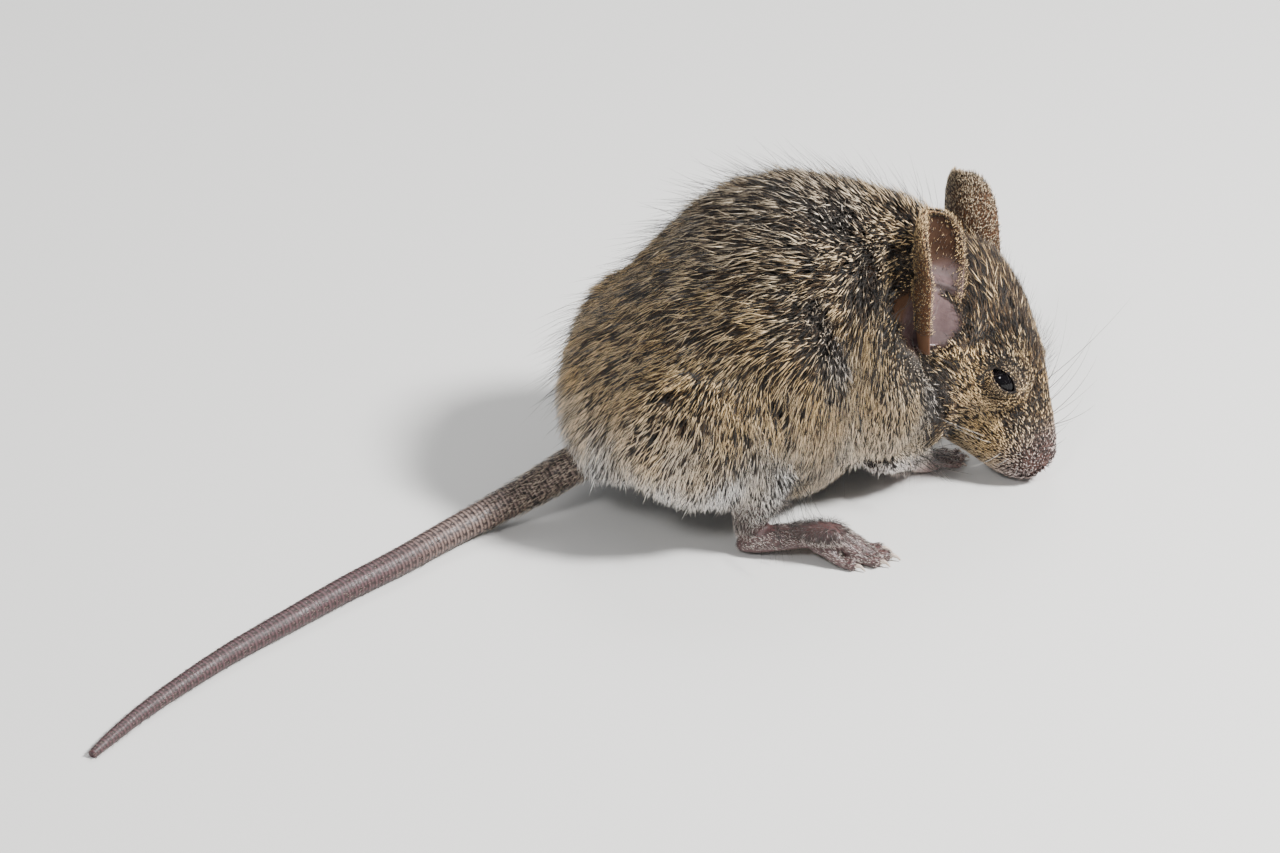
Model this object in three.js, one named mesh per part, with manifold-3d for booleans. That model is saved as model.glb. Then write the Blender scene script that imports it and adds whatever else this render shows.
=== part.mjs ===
// House mouse, life size, crouched with its back arched, its head turned to its right and its
// nose on the floor. Millimetres, +Z up. +X is the way the trunk faces and +Y is the animal's
// left. The solids are the outer surface of the coat; ears, feet and tail are bare skin.
// Every piece is cut from its neighbour with a thin gap, and all that touches the floor is flat.
import * as THREE from "three";
import { mergeVertices } from "three/addons/utils/BufferGeometryUtils.js";
import Module from "manifold-3d";

const wasm = await Module();
wasm.setup();

// ---------- Driving sizes ----------
const GAP = 0.3; // between pieces that touch
const FAR = 300; // a cutter's size, larger than the animal
const HIND_FOOT = 17; // heel to longest toe tip
const EAR_LENGTH = 15.6;
const EAR_WALL = 0.7;
const EAR_WIDEST = 0.52; // share of its length at which the ear is widest
const EYE_RADIUS = 1.75;
const TAIL_ROOT_RADIUS = 1.95;
const TAIL_TIP_RADIUS = 0.5;
const FLAT_DEPTH = 0.18; // how much of each resting piece the floor takes off

// ---------- Small helpers ----------
const point = (x, y, z) => new THREE.Vector3(x, y, z);
const radians = THREE.MathUtils.degToRad;

// A closed geometry as a manifold solid, turned so that its faces point out.
function solidOf(geometry) {
  const bare = geometry.clone();
  bare.deleteAttribute("normal");
  bare.deleteAttribute("uv");
  const merged = mergeVertices(bare, 1e-4);
  const triVerts = new Uint32Array(merged.index.array);
  const vertProperties = new Float32Array(merged.attributes.position.array);
  const made = new wasm.Manifold(new wasm.Mesh({ numProp: 3, vertProperties, triVerts }));
  if (made.volume() > 0) return made;
  for (let i = 0; i < triVerts.length; i += 3)
    [triVerts[i + 1], triVerts[i + 2]] = [triVerts[i + 2], triVerts[i + 1]];
  return new wasm.Manifold(new wasm.Mesh({ numProp: 3, vertProperties, triVerts }));
}

// The surface through rings of equal length, each end closed on the middle of its ring.
function throughRings(rings) {
  const n = rings[0].length;
  const corners = rings.flat();
  const index = [];
  for (let r = 0; r < rings.length - 1; r++)
    for (let k = 0; k < n; k++) {
      const a = r * n + k;
      const b = r * n + ((k + 1) % n);
      index.push(a, b, b + n, a, b + n, a + n);
    }
  for (const r of [0, rings.length - 1]) {
    const middle = rings[r].reduce((sum, p) => sum.add(p), point(0, 0, 0)).divideScalar(n);
    corners.push(middle);
    for (let k = 0; k < n; k++) {
      const a = r * n + k;
      const b = r * n + ((k + 1) % n);
      index.push(...(r ? [a, b, corners.length - 1] : [b, a, corners.length - 1]));
    }
  }
  return solidOf(new THREE.BufferGeometry().setFromPoints(corners).setIndex(index));
}

// The value between four in a row, on a Catmull-Rom curve.
function between(a, b, c, d, t) {
  const bend = 2 * a - 5 * b + 4 * c - d;
  const twist = 3 * b - a - 3 * c + d;
  return b + 0.5 * t * (c - a + t * (bend + t * twist));
}

// Stations along a form, smoothly filled in. An end of no width is a round pole: the curve
// goes on past it as its mirror image.
function filledIn(stations, steps) {
  const last = stations.length - 1;
  const keys = Object.keys(stations[0]);
  const across = new Set(["wide", "up", "down"]);
  const at = (i, key) => {
    if (i >= 0 && i <= last) return stations[i][key];
    const inside = i < 0 ? stations[-i] : stations[2 * last - i];
    const end = i < 0 ? stations[0] : stations[last];
    if (end.wide === 0) return across.has(key) ? -inside[key] : inside[key];
    return 2 * end[key] - inside[key];
  };
  const found = [];
  for (let i = 0; i < last; i++)
    for (let s = 0; s < steps; s++) {
      const one = {};
      for (const key of keys)
        one[key] = between(at(i - 1, key), at(i, key), at(i + 1, key), at(i + 2, key), s / steps);
      found.push(one);
    }
  found.push({ ...stations[last] });
  return found;
}

// A form along X. At each station x it is an egg of half width wide about (y, z), going up
// above and down below. pear widens its lower half, keel draws in its lowest part and extra
// stands all of it off.
function formAlongX(stations, { sides, steps, extra = 0 }) {
  const filled = filledIn(stations, steps).filter((s) => s.wide > 0.05);
  const rings = filled.map((s) =>
    Array.from({ length: sides }, (_, k) => {
      const turn = (2 * Math.PI * (k + 0.5)) / sides;
      const low = Math.max(0, -Math.sin(turn)) ** 2;
      const side = (s.wide + extra) * (1 - s.pear * Math.sin(turn)) * (1 - s.keel * low);
      const height = (Math.sin(turn) > 0 ? s.up : s.down) + extra;
      return point(s.x, s.y + Math.cos(turn) * side, s.z + Math.sin(turn) * height);
    }),
  );
  if (extra) {
    rings.unshift(rings[0].map((p) => p.clone().setX(p.x - extra)));
    rings.push(rings.at(-1).map((p) => p.clone().setX(p.x + extra)));
  }
  return throughRings(rings);
}

// A limb: round sections carried along a smooth curve, from points with a radius each. flat
// widens a section across and thins it upwards.
function limb(points, { sides = 10, steps = 10, extra = 0 }) {
  const curve = new THREE.CatmullRomCurve3(points.map((p) => point(...p.at)));
  const sizes = filledIn(
    points.map((p) => ({ radius: p.radius + extra, flat: p.flat ?? 1, wide: 1 })),
    Math.max(1, Math.round(steps / (points.length - 1))),
  );
  const rings = sizes.map((size, i) => {
    const t = i / (sizes.length - 1);
    const middle = curve.getPoint(t);
    const along = curve.getTangent(t);
    const across = new THREE.Vector3(0, 0, 1).cross(along);
    if (across.length() < 0.2) across.set(0, 1, 0);
    across.normalize();
    const up = along.clone().cross(across).normalize();
    return Array.from({ length: sides }, (_, k) => {
      const turn = (2 * Math.PI * (k + 0.5)) / sides;
      return middle
        .clone()
        .addScaledVector(across, Math.cos(turn) * size.radius * size.flat)
        .addScaledVector(up, (Math.sin(turn) * size.radius) / size.flat);
    });
  });
  return throughRings(rings);
}

// An egg-shaped mass with its own half sizes and turns about Y and Z.
function mass({ at, half, pitch = 0, yaw = 0 }, extra = 0, detail = 16) {
  const ball = new THREE.SphereGeometry(1, detail, Math.round(detail * 0.6));
  const turn = new THREE.Matrix4()
    .makeRotationZ(radians(yaw))
    .multiply(new THREE.Matrix4().makeRotationY(radians(pitch)));
  ball.scale(half[0] + extra, half[1] + extra, half[2] + extra);
  ball.applyMatrix4(turn);
  ball.translate(...at);
  return solidOf(ball);
}

// Everything on the side of a plane that its normal points to.
function halfSpace(at, normal) {
  const box = new THREE.BoxGeometry(FAR, FAR, FAR);
  box.translate(0, 0, FAR / 2);
  const turn = new THREE.Quaternion().setFromUnitVectors(
    point(0, 0, 1),
    point(...normal).normalize(),
  );
  box.applyQuaternion(turn);
  box.translate(...at);
  return solidOf(box);
}

// Cuts a form by planes in order along it and leaves half the gap on each side of each cut.
function parted(form, cuts) {
  const pieces = [];
  for (let i = 0; i <= cuts.length; i++) {
    let piece = form;
    const shifted = (cut, way) =>
      point(...cut.at)
        .addScaledVector(point(...cut.normal).normalize(), (way * GAP) / 2)
        .toArray();
    if (i > 0) piece = piece.intersect(halfSpace(shifted(cuts[i - 1], 1), cuts[i - 1].normal));
    if (i < cuts.length) {
      const back = cuts[i].normal.map((c) => -c);
      piece = piece.intersect(halfSpace(shifted(cuts[i], -1), back));
    }
    pieces.push(piece);
  }
  return pieces;
}

// The largest body of a solid, for a cut that leaves crumbs.
const largest = (solid) =>
  solid.decompose().reduce((best, body) => (body.volume() > best.volume() ? body : best));

// A curved plate of even thickness: surface(u, v) with u and v from 0 to 1.
function plate(surface, across, along, wall) {
  const nudge = 1e-3;
  const spot = (i, j, way) => {
    const [u, v] = [i / across, j / along];
    const alongU = surface(u + nudge, v).sub(surface(u - nudge, v));
    const alongV = surface(u, v + nudge).sub(surface(u, v - nudge));
    return surface(u, v).addScaledVector(alongU.cross(alongV).normalize(), (way * wall) / 2);
  };
  const corners = [];
  for (const way of [1, -1])
    for (let j = 0; j <= along; j++)
      for (let i = 0; i <= across; i++) corners.push(spot(i, j, way));
  const id = (i, j, face) => face * (across + 1) * (along + 1) + j * (across + 1) + i;
  const index = [];
  const quad = (p, q, r, s) => index.push(p, q, r, p, r, s);
  for (let j = 0; j < along; j++)
    for (let i = 0; i < across; i++) {
      quad(id(i, j, 0), id(i + 1, j, 0), id(i + 1, j + 1, 0), id(i, j + 1, 0));
      quad(id(i, j, 1), id(i, j + 1, 1), id(i + 1, j + 1, 1), id(i + 1, j, 1));
    }
  for (let i = 0; i < across; i++) {
    quad(id(i, 0, 0), id(i, 0, 1), id(i + 1, 0, 1), id(i + 1, 0, 0));
    quad(id(i, along, 0), id(i + 1, along, 0), id(i + 1, along, 1), id(i, along, 1));
  }
  for (let j = 0; j < along; j++) {
    quad(id(0, j, 0), id(0, j + 1, 0), id(0, j + 1, 1), id(0, j, 1));
    quad(id(across, j, 0), id(across, j, 1), id(across, j + 1, 1), id(across, j + 1, 0));
  }
  return solidOf(new THREE.BufferGeometry().setFromPoints(corners).setIndex(index));
}

// ---------- Trunk: rump, loin and chest, with the neck ----------
// A hunched back, highest over the loin, on a belly that just rests on the floor.
const TRUNK = [
  { x: -1.4, y: 0, z: 12.8, wide: 0, up: 0, down: 0, pear: 0.1, keel: 0 },
  { x: 0.6, y: 0, z: 13.0, wide: 7.4, up: 7.9, down: 6.4, pear: 0.12, keel: 0 },
  { x: 5.6, y: 0, z: 14.8, wide: 11.4, up: 12.5, down: 10.0, pear: 0.16, keel: 0.05 },
  { x: 11.4, y: 0, z: 16.6, wide: 14.0, up: 16.4, down: 13.9, pear: 0.16, keel: 0.1 },
  { x: 18.0, y: 0, z: 18.6, wide: 14.8, up: 19.1, down: 17.4, pear: 0.12, keel: 0.2 },
  { x: 25.0, y: 0, z: 19.6, wide: 13.6, up: 19.1, down: 20.0, pear: 0.08, keel: 0.24 },
  { x: 31.0, y: 0.9, z: 19.8, wide: 10.8, up: 17.2, down: 19.0, pear: 0.04, keel: 0.24 },
  { x: 36.0, y: 2.2, z: 20.0, wide: 8.1, up: 14.7, down: 17.4, pear: 0.02, keel: 0.1 },
  { x: 40.5, y: 3.0, z: 20.0, wide: 6.6, up: 11.9, down: 15.4, pear: 0.0, keel: 0 },
  { x: 44.5, y: 3.3, z: 19.6, wide: 4.8, up: 7.8, down: 11.0, pear: 0.0, keel: 0 },
  { x: 46.3, y: 3.4, z: 19.4, wide: 0, up: 0, down: 0, pear: 0.0, keel: 0 },
];
const trunkForm = formAlongX(TRUNK, { sides: 22, steps: 2 });
const trunkRoom = formAlongX(TRUNK, { sides: 22, steps: 2, extra: GAP });
const TRUNK_NAMES = ["rump", "loin", "chest", "neck"];
const TRUNK_CUTS = [
  { at: [9, 0, 18], normal: [1, 0, 0] },
  { at: [24, 0, 18], normal: [1, 0, 0] },
  { at: [37, 0, 20], normal: [1, 0, -0.25] },
];

// The loose fur and skin of the throat, bunched where the head turns to the right.
const THROAT = { at: [38.2, -2.4, 10.6], half: [5.6, 5.2, 6.4], pitch: 15, yaw: -25 };

// ---------- Head, in its own frame: X to the nose, Y left, Z to the crown ----------
const HEAD = [
  { x: -7.4, y: 0, z: 1.0, wide: 0, up: 0, down: 0, pear: 0, keel: 0 },
  { x: -5.8, y: 0, z: 1.0, wide: 5.0, up: 5.6, down: 5.6, pear: 0, keel: 0 },
  { x: -1.5, y: 0, z: 0.6, wide: 7.3, up: 8.6, down: 10.0, pear: 0.04, keel: 0.1 },
  { x: 3.0, y: 0, z: 0.3, wide: 7.6, up: 9.0, down: 11.0, pear: 0.08, keel: 0.2 },
  { x: 7.5, y: 0, z: 0.0, wide: 6.8, up: 8.2, down: 10.4, pear: 0.1, keel: 0.24 },
  { x: 11.5, y: 0, z: -0.3, wide: 5.6, up: 6.8, down: 8.9, pear: 0.1, keel: 0.2 },
  { x: 15.5, y: 0, z: -0.8, wide: 4.6, up: 5.2, down: 6.6, pear: 0.12, keel: 0.1 },
  { x: 18.8, y: 0, z: -1.2, wide: 3.9, up: 3.8, down: 4.8, pear: 0.1, keel: 0 },
  { x: 21.2, y: 0, z: -1.4, wide: 2.5, up: 2.3, down: 2.9, pear: 0, keel: 0 },
  { x: 22.3, y: 0, z: -1.5, wide: 0, up: 0, down: 0, pear: 0, keel: 0 },
];
const HEAD_AT = [42.1, 2.1, 18.9];
const HEAD_YAW = -36.2;
const HEAD_PITCH = 50.2;
const HEAD_ROLL = -10.4;
const headFrame = new THREE.Matrix4()
  .makeTranslation(...HEAD_AT)
  .multiply(new THREE.Matrix4().makeRotationZ(radians(HEAD_YAW)))
  .multiply(new THREE.Matrix4().makeRotationY(radians(HEAD_PITCH)))
  .multiply(new THREE.Matrix4().makeRotationX(radians(HEAD_ROLL)));
const inHead = (solid) => solid.transform(headFrame.elements);
const headForm = inHead(formAlongX(HEAD, { sides: 18, steps: 2 }));
const headRoom = inHead(formAlongX(HEAD, { sides: 18, steps: 2, extra: GAP }));

// ---------- Ears and eyes: rooted in the head's frame, each ear turned its own way ----------
// A cupped leaf: each level is an arc of a circle that opens from a tube at the root. wide is
// its breadth laid flat; curl holds the arc's half angle at the root, the middle and the tip.
const EARS = {
  left: {
    root: [1.1, 7.1, 2.0],
    stands: [0.0, 0.25, 0.97],
    faces: [0.88, 0.47, -0.05],
    wide: 9.6,
    curl: [112, 52, 52],
  },
  right: {
    root: [-0.7, -8.25, 1.45],
    stands: [0, 0.1, 0.99],
    faces: [0.66, -0.75, 0.1],
    wide: 11.0,
    curl: [88, 94, 66],
  },
};
function ear({ root, stands, faces, wide, curl }) {
  const leaf = (u, v) => {
    const level = v * (1.5 - 0.5 * v); // closer together towards the tip
    const share =
      level < EAR_WIDEST
        ? 0.62 + 0.38 * Math.sin((Math.PI / 2) * (level / EAR_WIDEST))
        : Math.max(0.02, 1 - ((level - EAR_WIDEST) / (1.01 - EAR_WIDEST)) ** 2.6) ** 0.45;
    const rise = level * 1.8;
    const half = radians(
      rise < 1
        ? THREE.MathUtils.lerp(curl[0], curl[1], rise)
        : THREE.MathUtils.lerp(curl[1], curl[2], Math.min(1, (rise - 1) / 0.8)),
    );
    const radius = (share * wide) / (2 * half);
    const turn = (2 * u - 1) * half;
    const deep = radius * (1 - Math.cos(turn)) - 1.0 - 0.5 * Math.sin(Math.PI * level);
    return point(deep, radius * Math.sin(turn), (level - 0.16) * EAR_LENGTH);
  };
  const up = point(...stands).normalize();
  const across = up.clone().cross(point(...faces)).normalize();
  const turn = new THREE.Matrix4()
    .makeBasis(across.clone().cross(up), across, up)
    .setPosition(point(...root).applyMatrix4(headFrame));
  return plate(leaf, 8, 7, EAR_WALL).transform(turn.elements);
}
const EYE = [9.5, 4.7, 2.9];
function eyeball(side, extra = 0) {
  const ball = new THREE.SphereGeometry(EYE_RADIUS + extra, 10, 7);
  ball.translate(EYE[0], side * EYE[1], EYE[2]);
  return inHead(solidOf(ball));
}

// ---------- Hind limbs ----------
const HAUNCH = { at: [13.0, 9.2, 15.0], half: [11.0, 7.4, 9.8], pitch: 8, yaw: -6 };
function haunch(side, extra = 0) {
  const { at, half, pitch, yaw } = HAUNCH;
  return mass({ at: [at[0], side * at[1], at[2]], half, pitch, yaw: side * yaw }, extra, 14);
}
// Each foot has its heel at the origin of its own frame and points along X.
const FEET = {
  left: { heel: [14.5, 12.6, 0], splay: 18 },
  right: { heel: [15.3, -12.2, 0], splay: -21 },
};
const SOLE = [
  { at: [0.7, 0, 1.0], radius: 1.25 },
  { at: [2.6, 0, 1.8], radius: 1.5 },
  { at: [6.0, 0, 2.4], radius: 1.45, flat: 1.15 },
  { at: [9.2, 0, 3.0], radius: 1.5, flat: 1.3 },
  { at: [11.4, 0, 2.9], radius: 1.3, flat: 1.4 },
];
// Toes from the outer (fifth) to the inner (first): where each leaves the sole, and its tip.
const HIND_TOES = [
  { from: [8.4, -1.3, 2.2], to: [13.4, -2.4], thick: 0.66 },
  { from: [10.2, -0.95, 3.0], to: [16.0, -1.3], thick: 0.74 },
  { from: [10.4, 0, 3.2], to: [HIND_FOOT, 0.1], thick: 0.76 },
  { from: [10.2, 0.95, 3.2], to: [16.0, 1.5], thick: 0.74 },
  { from: [8.6, 1.4, 2.2], to: [12.6, 2.7], thick: 0.64 },
];
function toe({ from, to, thick }, side, sides, extra = 0) {
  const lift = thick - FLAT_DEPTH;
  const along = (t, z, radius) => ({
    at: [
      THREE.MathUtils.lerp(from[0], to[0], t),
      -THREE.MathUtils.lerp(from[1], to[1], t) * side,
      z,
    ],
    radius,
  });
  return limb(
    [
      along(0, from[2], thick),
      along(0.45, THREE.MathUtils.lerp(from[2], lift, 0.4), thick),
      along(0.85, lift, thick * 0.9),
      along(1.05, 0.28, 0.3),
    ],
    { sides, steps: 3, extra },
  );
}
function hindFoot(side, extra = 0) {
  const { heel, splay } = side > 0 ? FEET.left : FEET.right;
  const toes = HIND_TOES.map((one) => toe(one, side, 5, extra));
  return wasm.Manifold.union([limb(SOLE, { sides: 8, steps: 4, extra }), ...toes])
    .rotate([0, 0, splay])
    .translate(heel);
}
const ANKLE = 3.2; // how high the bare foot goes
function shank(side, extra = 0) {
  const heel = (side > 0 ? FEET.left : FEET.right).heel;
  return limb(
    [
      { at: [heel[0] + 3.4, side * 11.0, 10.5], radius: 4.2 },
      { at: [heel[0] + 2.2, side * 12.0, 6.6], radius: 3.0 },
      { at: [heel[0] + 1.5, heel[1] - side * 0.1, 3.6], radius: 1.9 },
      { at: [heel[0] + 1.1, heel[1], 1.8], radius: 1.4 },
    ],
    { sides: 10, steps: 6, extra },
  );
}

// ---------- Forelimbs: folded under the chest, the paws flat beneath the throat ----------
const PAWS = {
  left: { elbow: [32.0, 7.4, 6.8], wrist: [36.8, 7.0, 2.6], at: [38.4, 6.8, 0], turn: -12 },
  right: { elbow: [33.2, -5.4, 7.2], wrist: [38.6, -1.6, 2.6], at: [40.0, -0.9, 0], turn: 20 },
};
const FORE_TOES = [
  { from: [1.6, -0.9, 0.9], to: [3.9, -1.8], thick: 0.5 },
  { from: [2.1, -0.4, 1.0], to: [5.2, -0.7], thick: 0.52 },
  { from: [2.1, 0.4, 1.0], to: [5.2, 0.6], thick: 0.52 },
  { from: [1.7, 0.9, 0.9], to: [4.2, 1.7], thick: 0.5 },
];
function forePaw(side, extra = 0) {
  const { at, turn } = side > 0 ? PAWS.left : PAWS.right;
  const palm = limb(
    [
      { at: [-1.6, 0, 1.5], radius: 1.0 },
      { at: [0.4, 0, 0.85], radius: 1.1, flat: 1.15 },
      { at: [2.6, 0, 0.8], radius: 0.85, flat: 1.6 },
    ],
    { sides: 8, steps: 4, extra },
  );
  return wasm.Manifold.union([palm, ...FORE_TOES.map((one) => toe(one, side, 5, extra))])
    .rotate([0, 0, turn])
    .translate(at);
}
function foreArm(side, extra = 0) {
  const { elbow, wrist, at } = side > 0 ? PAWS.left : PAWS.right;
  return limb(
    [
      { at: elbow, radius: 3.2 },
      { at: elbow.map((c, i) => (c + wrist[i]) / 2), radius: 2.7 },
      { at: wrist, radius: 1.8 },
      { at: [at[0] - 0.2, at[1], 1.5], radius: 1.05 },
    ],
    { sides: 12, steps: 6, extra },
  );
}
const UPPER_ARM = { at: [32.6, 7.4, 14.2], half: [5.8, 3.9, 7.4], pitch: 10, across: 0.6 };
function upperArm(side, extra = 0) {
  const { at, half, pitch, across } = UPPER_ARM;
  return mass({ at: [at[0], across + side * at[1], at[2]], half, pitch }, extra, 12);
}

// ---------- Tail: along the floor, bending a little toward its tip ----------
const TAIL = [
  { at: [5, 0, 9.5], radius: TAIL_ROOT_RADIUS },
  { at: [0.3, -0.2, 6.6], radius: TAIL_ROOT_RADIUS },
  { at: [-6.3, -0.4, 3.3], radius: 1.75 },
  { at: [-13.6, -2.8, 1.75], radius: 1.62 },
  { at: [-21.3, -7.4, 1.42], radius: 1.52 },
  { at: [-28.0, -11.2, 1.3], radius: 1.42 },
  { at: [-35.0, -15.6, 1.18], radius: 1.3 },
  { at: [-42.4, -20.3, 1.02], radius: 1.15 },
  { at: [-48.5, -24.8, 0.88], radius: 1.0 },
  { at: [-53.3, -28.7, 0.72], radius: 0.85 },
  { at: [-57.0, -32.2, 0.58], radius: 0.7 },
  { at: [-59.4, -34.6, 0.42], radius: TAIL_TIP_RADIUS },
];
const tail = (extra = 0) => limb(TAIL, { sides: 8, steps: 11, extra });
const TAIL_WAY = [-0.866, -0.5, 0];
const TAIL_JOINTS = [16, 31, 45];

// ---------- Parting the body ----------
const floor = halfSpace([0, 0, 0], [0, 0, 1]);
const onFloor = (solid) => solid.intersect(floor);
const SIDES = { left: 1, right: -1 };
const coat = new THREE.MeshStandardMaterial({ color: 0x6f5a3f, roughness: 0.85, metalness: 0 });
const skin = new THREE.MeshStandardMaterial({ color: 0xb08d84, roughness: 0.6, metalness: 0 });
const gloss = new THREE.MeshStandardMaterial({ color: 0x0b0a0c, roughness: 0.08, metalness: 0 });

const model = new THREE.Group();
function add(name, solid, material) {
  const made = largest(solid).getMesh();
  const geometry = new THREE.BufferGeometry()
    .setAttribute("position", new THREE.BufferAttribute(made.vertProperties, 3))
    .setIndex(new THREE.BufferAttribute(made.triVerts, 1));
  geometry.computeVertexNormals();
  const mesh = new THREE.Mesh(geometry, material);
  mesh.name = name;
  model.add(mesh);
}

// Head: the muzzle and the lower jaw are cut from it, the eyes sit in sockets.
const inHeadCut = (at, normal) => {
  const turned = new THREE.Matrix3().setFromMatrix4(headFrame);
  return {
    at: point(...at).applyMatrix4(headFrame).toArray(),
    normal: point(...normal).applyMatrix3(turned).toArray(),
  };
};
const skull = onFloor(headForm).subtract(eyeball(1, GAP)).subtract(eyeball(-1, GAP));
const [jaw, upperHead] = parted(skull, [inHeadCut([14, 0, -3.4], [-0.22, 0, 1])]);
const [cranium, muzzle] = parted(upperHead, [inHeadCut([14.5, 0, 0], [1, 0, 0])]);
add("head", cranium, coat);
add("muzzle", muzzle, coat);
add("lower_jaw", jaw, coat);

const fullTrunk = trunkForm.add(mass(THROAT, 0, 14));
let body = onFloor(fullTrunk).subtract(headRoom).subtract(tail(GAP));
for (const [name, side] of Object.entries(SIDES)) {
  add(`eye_${name}`, eyeball(side), gloss);
  add(`ear_${name}`, ear(EARS[name]).subtract(headRoom).subtract(trunkRoom), skin);
  const thighRoom = haunch(side, GAP);
  const armRoom = upperArm(side, GAP);
  const wrist = (side > 0 ? PAWS.left : PAWS.right).wrist;
  const [bareFoot, leg] = parted(onFloor(shank(side).add(hindFoot(side))), [
    { at: [(side > 0 ? FEET.left : FEET.right).heel[0] + 1.5, 0, ANKLE], normal: [-0.35, 0, 1] },
  ]);
  const [foreleg, barePaw] = parted(onFloor(foreArm(side).add(forePaw(side))), [
    { at: wrist, normal: [1, 0, -0.6] },
  ]);
  add(`thigh_${name}`, haunch(side), coat);
  add(`shank_${name}`, leg.subtract(thighRoom), coat);
  add(`hind_foot_${name}`, bareFoot.subtract(thighRoom), skin);
  add(`upper_arm_${name}`, upperArm(side).subtract(headRoom), coat);
  add(`forearm_${name}`, foreleg.subtract(armRoom).subtract(headRoom), coat);
  add(`forepaw_${name}`, barePaw.subtract(armRoom).subtract(headRoom), skin);
  const legRooms = [shank(side, GAP), hindFoot(side, GAP), foreArm(side, GAP), forePaw(side, GAP)];
  for (const room of [thighRoom, armRoom, ...legRooms]) body = body.subtract(room);
}
parted(body, TRUNK_CUTS).forEach((piece, i) => add(TRUNK_NAMES[i], piece, coat));
const joints = TAIL_JOINTS.map((d) => ({
  at: TAIL_WAY.map((c) => c * d),
  normal: TAIL_WAY,
}));
parted(onFloor(tail()), joints).forEach((piece, i) => add(`tail_${i + 1}`, piece, skin));

// The origin is under the middle of the whole, on the floor.
const box = new THREE.Box3().setFromObject(model);
const middle = box.getCenter(point(0, 0, 0));
model.position.set(-middle.x, -middle.y, -box.min.z);

export default model;
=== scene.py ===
import math

import bmesh
import bpy
import numpy as np
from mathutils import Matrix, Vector
from mathutils.kdtree import KDTree


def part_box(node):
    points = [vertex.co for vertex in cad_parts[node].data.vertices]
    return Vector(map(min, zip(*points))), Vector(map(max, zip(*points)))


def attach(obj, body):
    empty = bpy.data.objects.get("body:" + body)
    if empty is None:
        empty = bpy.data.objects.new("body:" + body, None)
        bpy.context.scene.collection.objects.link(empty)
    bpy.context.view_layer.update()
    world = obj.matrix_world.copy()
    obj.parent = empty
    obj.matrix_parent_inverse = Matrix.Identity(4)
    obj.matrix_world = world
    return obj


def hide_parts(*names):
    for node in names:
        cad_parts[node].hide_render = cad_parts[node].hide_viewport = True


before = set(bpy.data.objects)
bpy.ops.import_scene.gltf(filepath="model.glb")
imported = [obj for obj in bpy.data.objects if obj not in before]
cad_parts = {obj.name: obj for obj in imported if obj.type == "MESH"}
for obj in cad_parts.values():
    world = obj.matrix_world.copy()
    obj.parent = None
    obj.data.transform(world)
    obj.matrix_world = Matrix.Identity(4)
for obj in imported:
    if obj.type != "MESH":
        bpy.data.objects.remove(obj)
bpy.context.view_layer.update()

# ---------- Floor, light and camera ----------
# The animal stands on a plain pale studio floor. A strong soft lamp hangs high on its right and
# in front, a weak one on its right behind and a weak broad one on its left, under an even sky.
# The camera looks down on its right side.
MM = 0.001
VIEW_AT = np.array([14.15, 23.9, 0.0]) * MM  # the point of the floor in the picture's middle
VIEW_AZIMUTH, VIEW_HEIGHT = math.radians(-14), math.radians(31)
VIEW_DISTANCE = 0.6
LENS, SENSOR = 148.5, 36.0
# Each lamp's azimuth and height in degrees, its distance and breadth in metres, and its watts.
LAMPS = {"key_lamp": (52, 48, 0.50, 0.08, 7.2), "fill_lamp": (-38, 46, 0.60, 0.12, 1.3),
         "back_lamp": (160, 55, 0.60, 0.30, 1.6)}
SKY_COLOUR, SKY_STRENGTH = (0.93, 0.96, 1.0, 1), 0.43
FLOOR_SIZE, FLOOR_COLOUR, FLOOR_ROUGHNESS = 3.0, (0.62, 0.61, 0.59, 1), 0.85


def on_circle(azimuth, height, distance, middle):
    """middle + distance (sin a cos h, -cos a cos h, sin h), for azimuth a and height h."""
    return Vector(middle) + distance * Vector((
        math.sin(azimuth) * math.cos(height),
        -math.cos(azimuth) * math.cos(height),
        math.sin(height),
    ))


def aimed(name, data, place, target):
    """An object at place whose own -Z points at target."""
    thing = bpy.data.objects.new(name, data)
    thing.location = place
    thing.rotation_euler = (Vector(target) - Vector(place)).to_track_quat("-Z", "Y").to_euler()
    bpy.context.scene.collection.objects.link(thing)
    return thing


lens = bpy.data.cameras.new("camera")
lens.lens, lens.sensor_width, lens.clip_start = LENS, SENSOR, 0.01
bpy.context.scene.camera = aimed(
    "camera", lens, on_circle(VIEW_AZIMUTH, VIEW_HEIGHT, VIEW_DISTANCE, VIEW_AT), VIEW_AT)

for lamp_name, (azimuth, height, distance, size, power) in LAMPS.items():
    lamp = bpy.data.lights.new(lamp_name, "AREA")
    lamp.shape, lamp.size, lamp.energy = "DISK", size, power
    aimed(lamp_name, lamp,
          on_circle(math.radians(azimuth), math.radians(height), distance, VIEW_AT), VIEW_AT)

sky = bpy.data.worlds.new("sky")
sky.use_nodes = True
sky_light = sky.node_tree.nodes["Background"].inputs
sky_light["Color"].default_value = SKY_COLOUR
sky_light["Strength"].default_value = SKY_STRENGTH
bpy.context.scene.world = sky

bpy.ops.mesh.primitive_plane_add(size=FLOOR_SIZE, location=(0, 0, 0))
floor = bpy.context.object
floor.name = "floor"
floor_paint = bpy.data.materials.new("floor_paint")
floor_paint.use_nodes = True
floor_shader = floor_paint.node_tree.nodes["Principled BSDF"]
floor_shader.inputs["Base Color"].default_value = FLOOR_COLOUR
floor_shader.inputs["Roughness"].default_value = FLOOR_ROUGHNESS
floor.data.materials.append(floor_paint)

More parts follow.
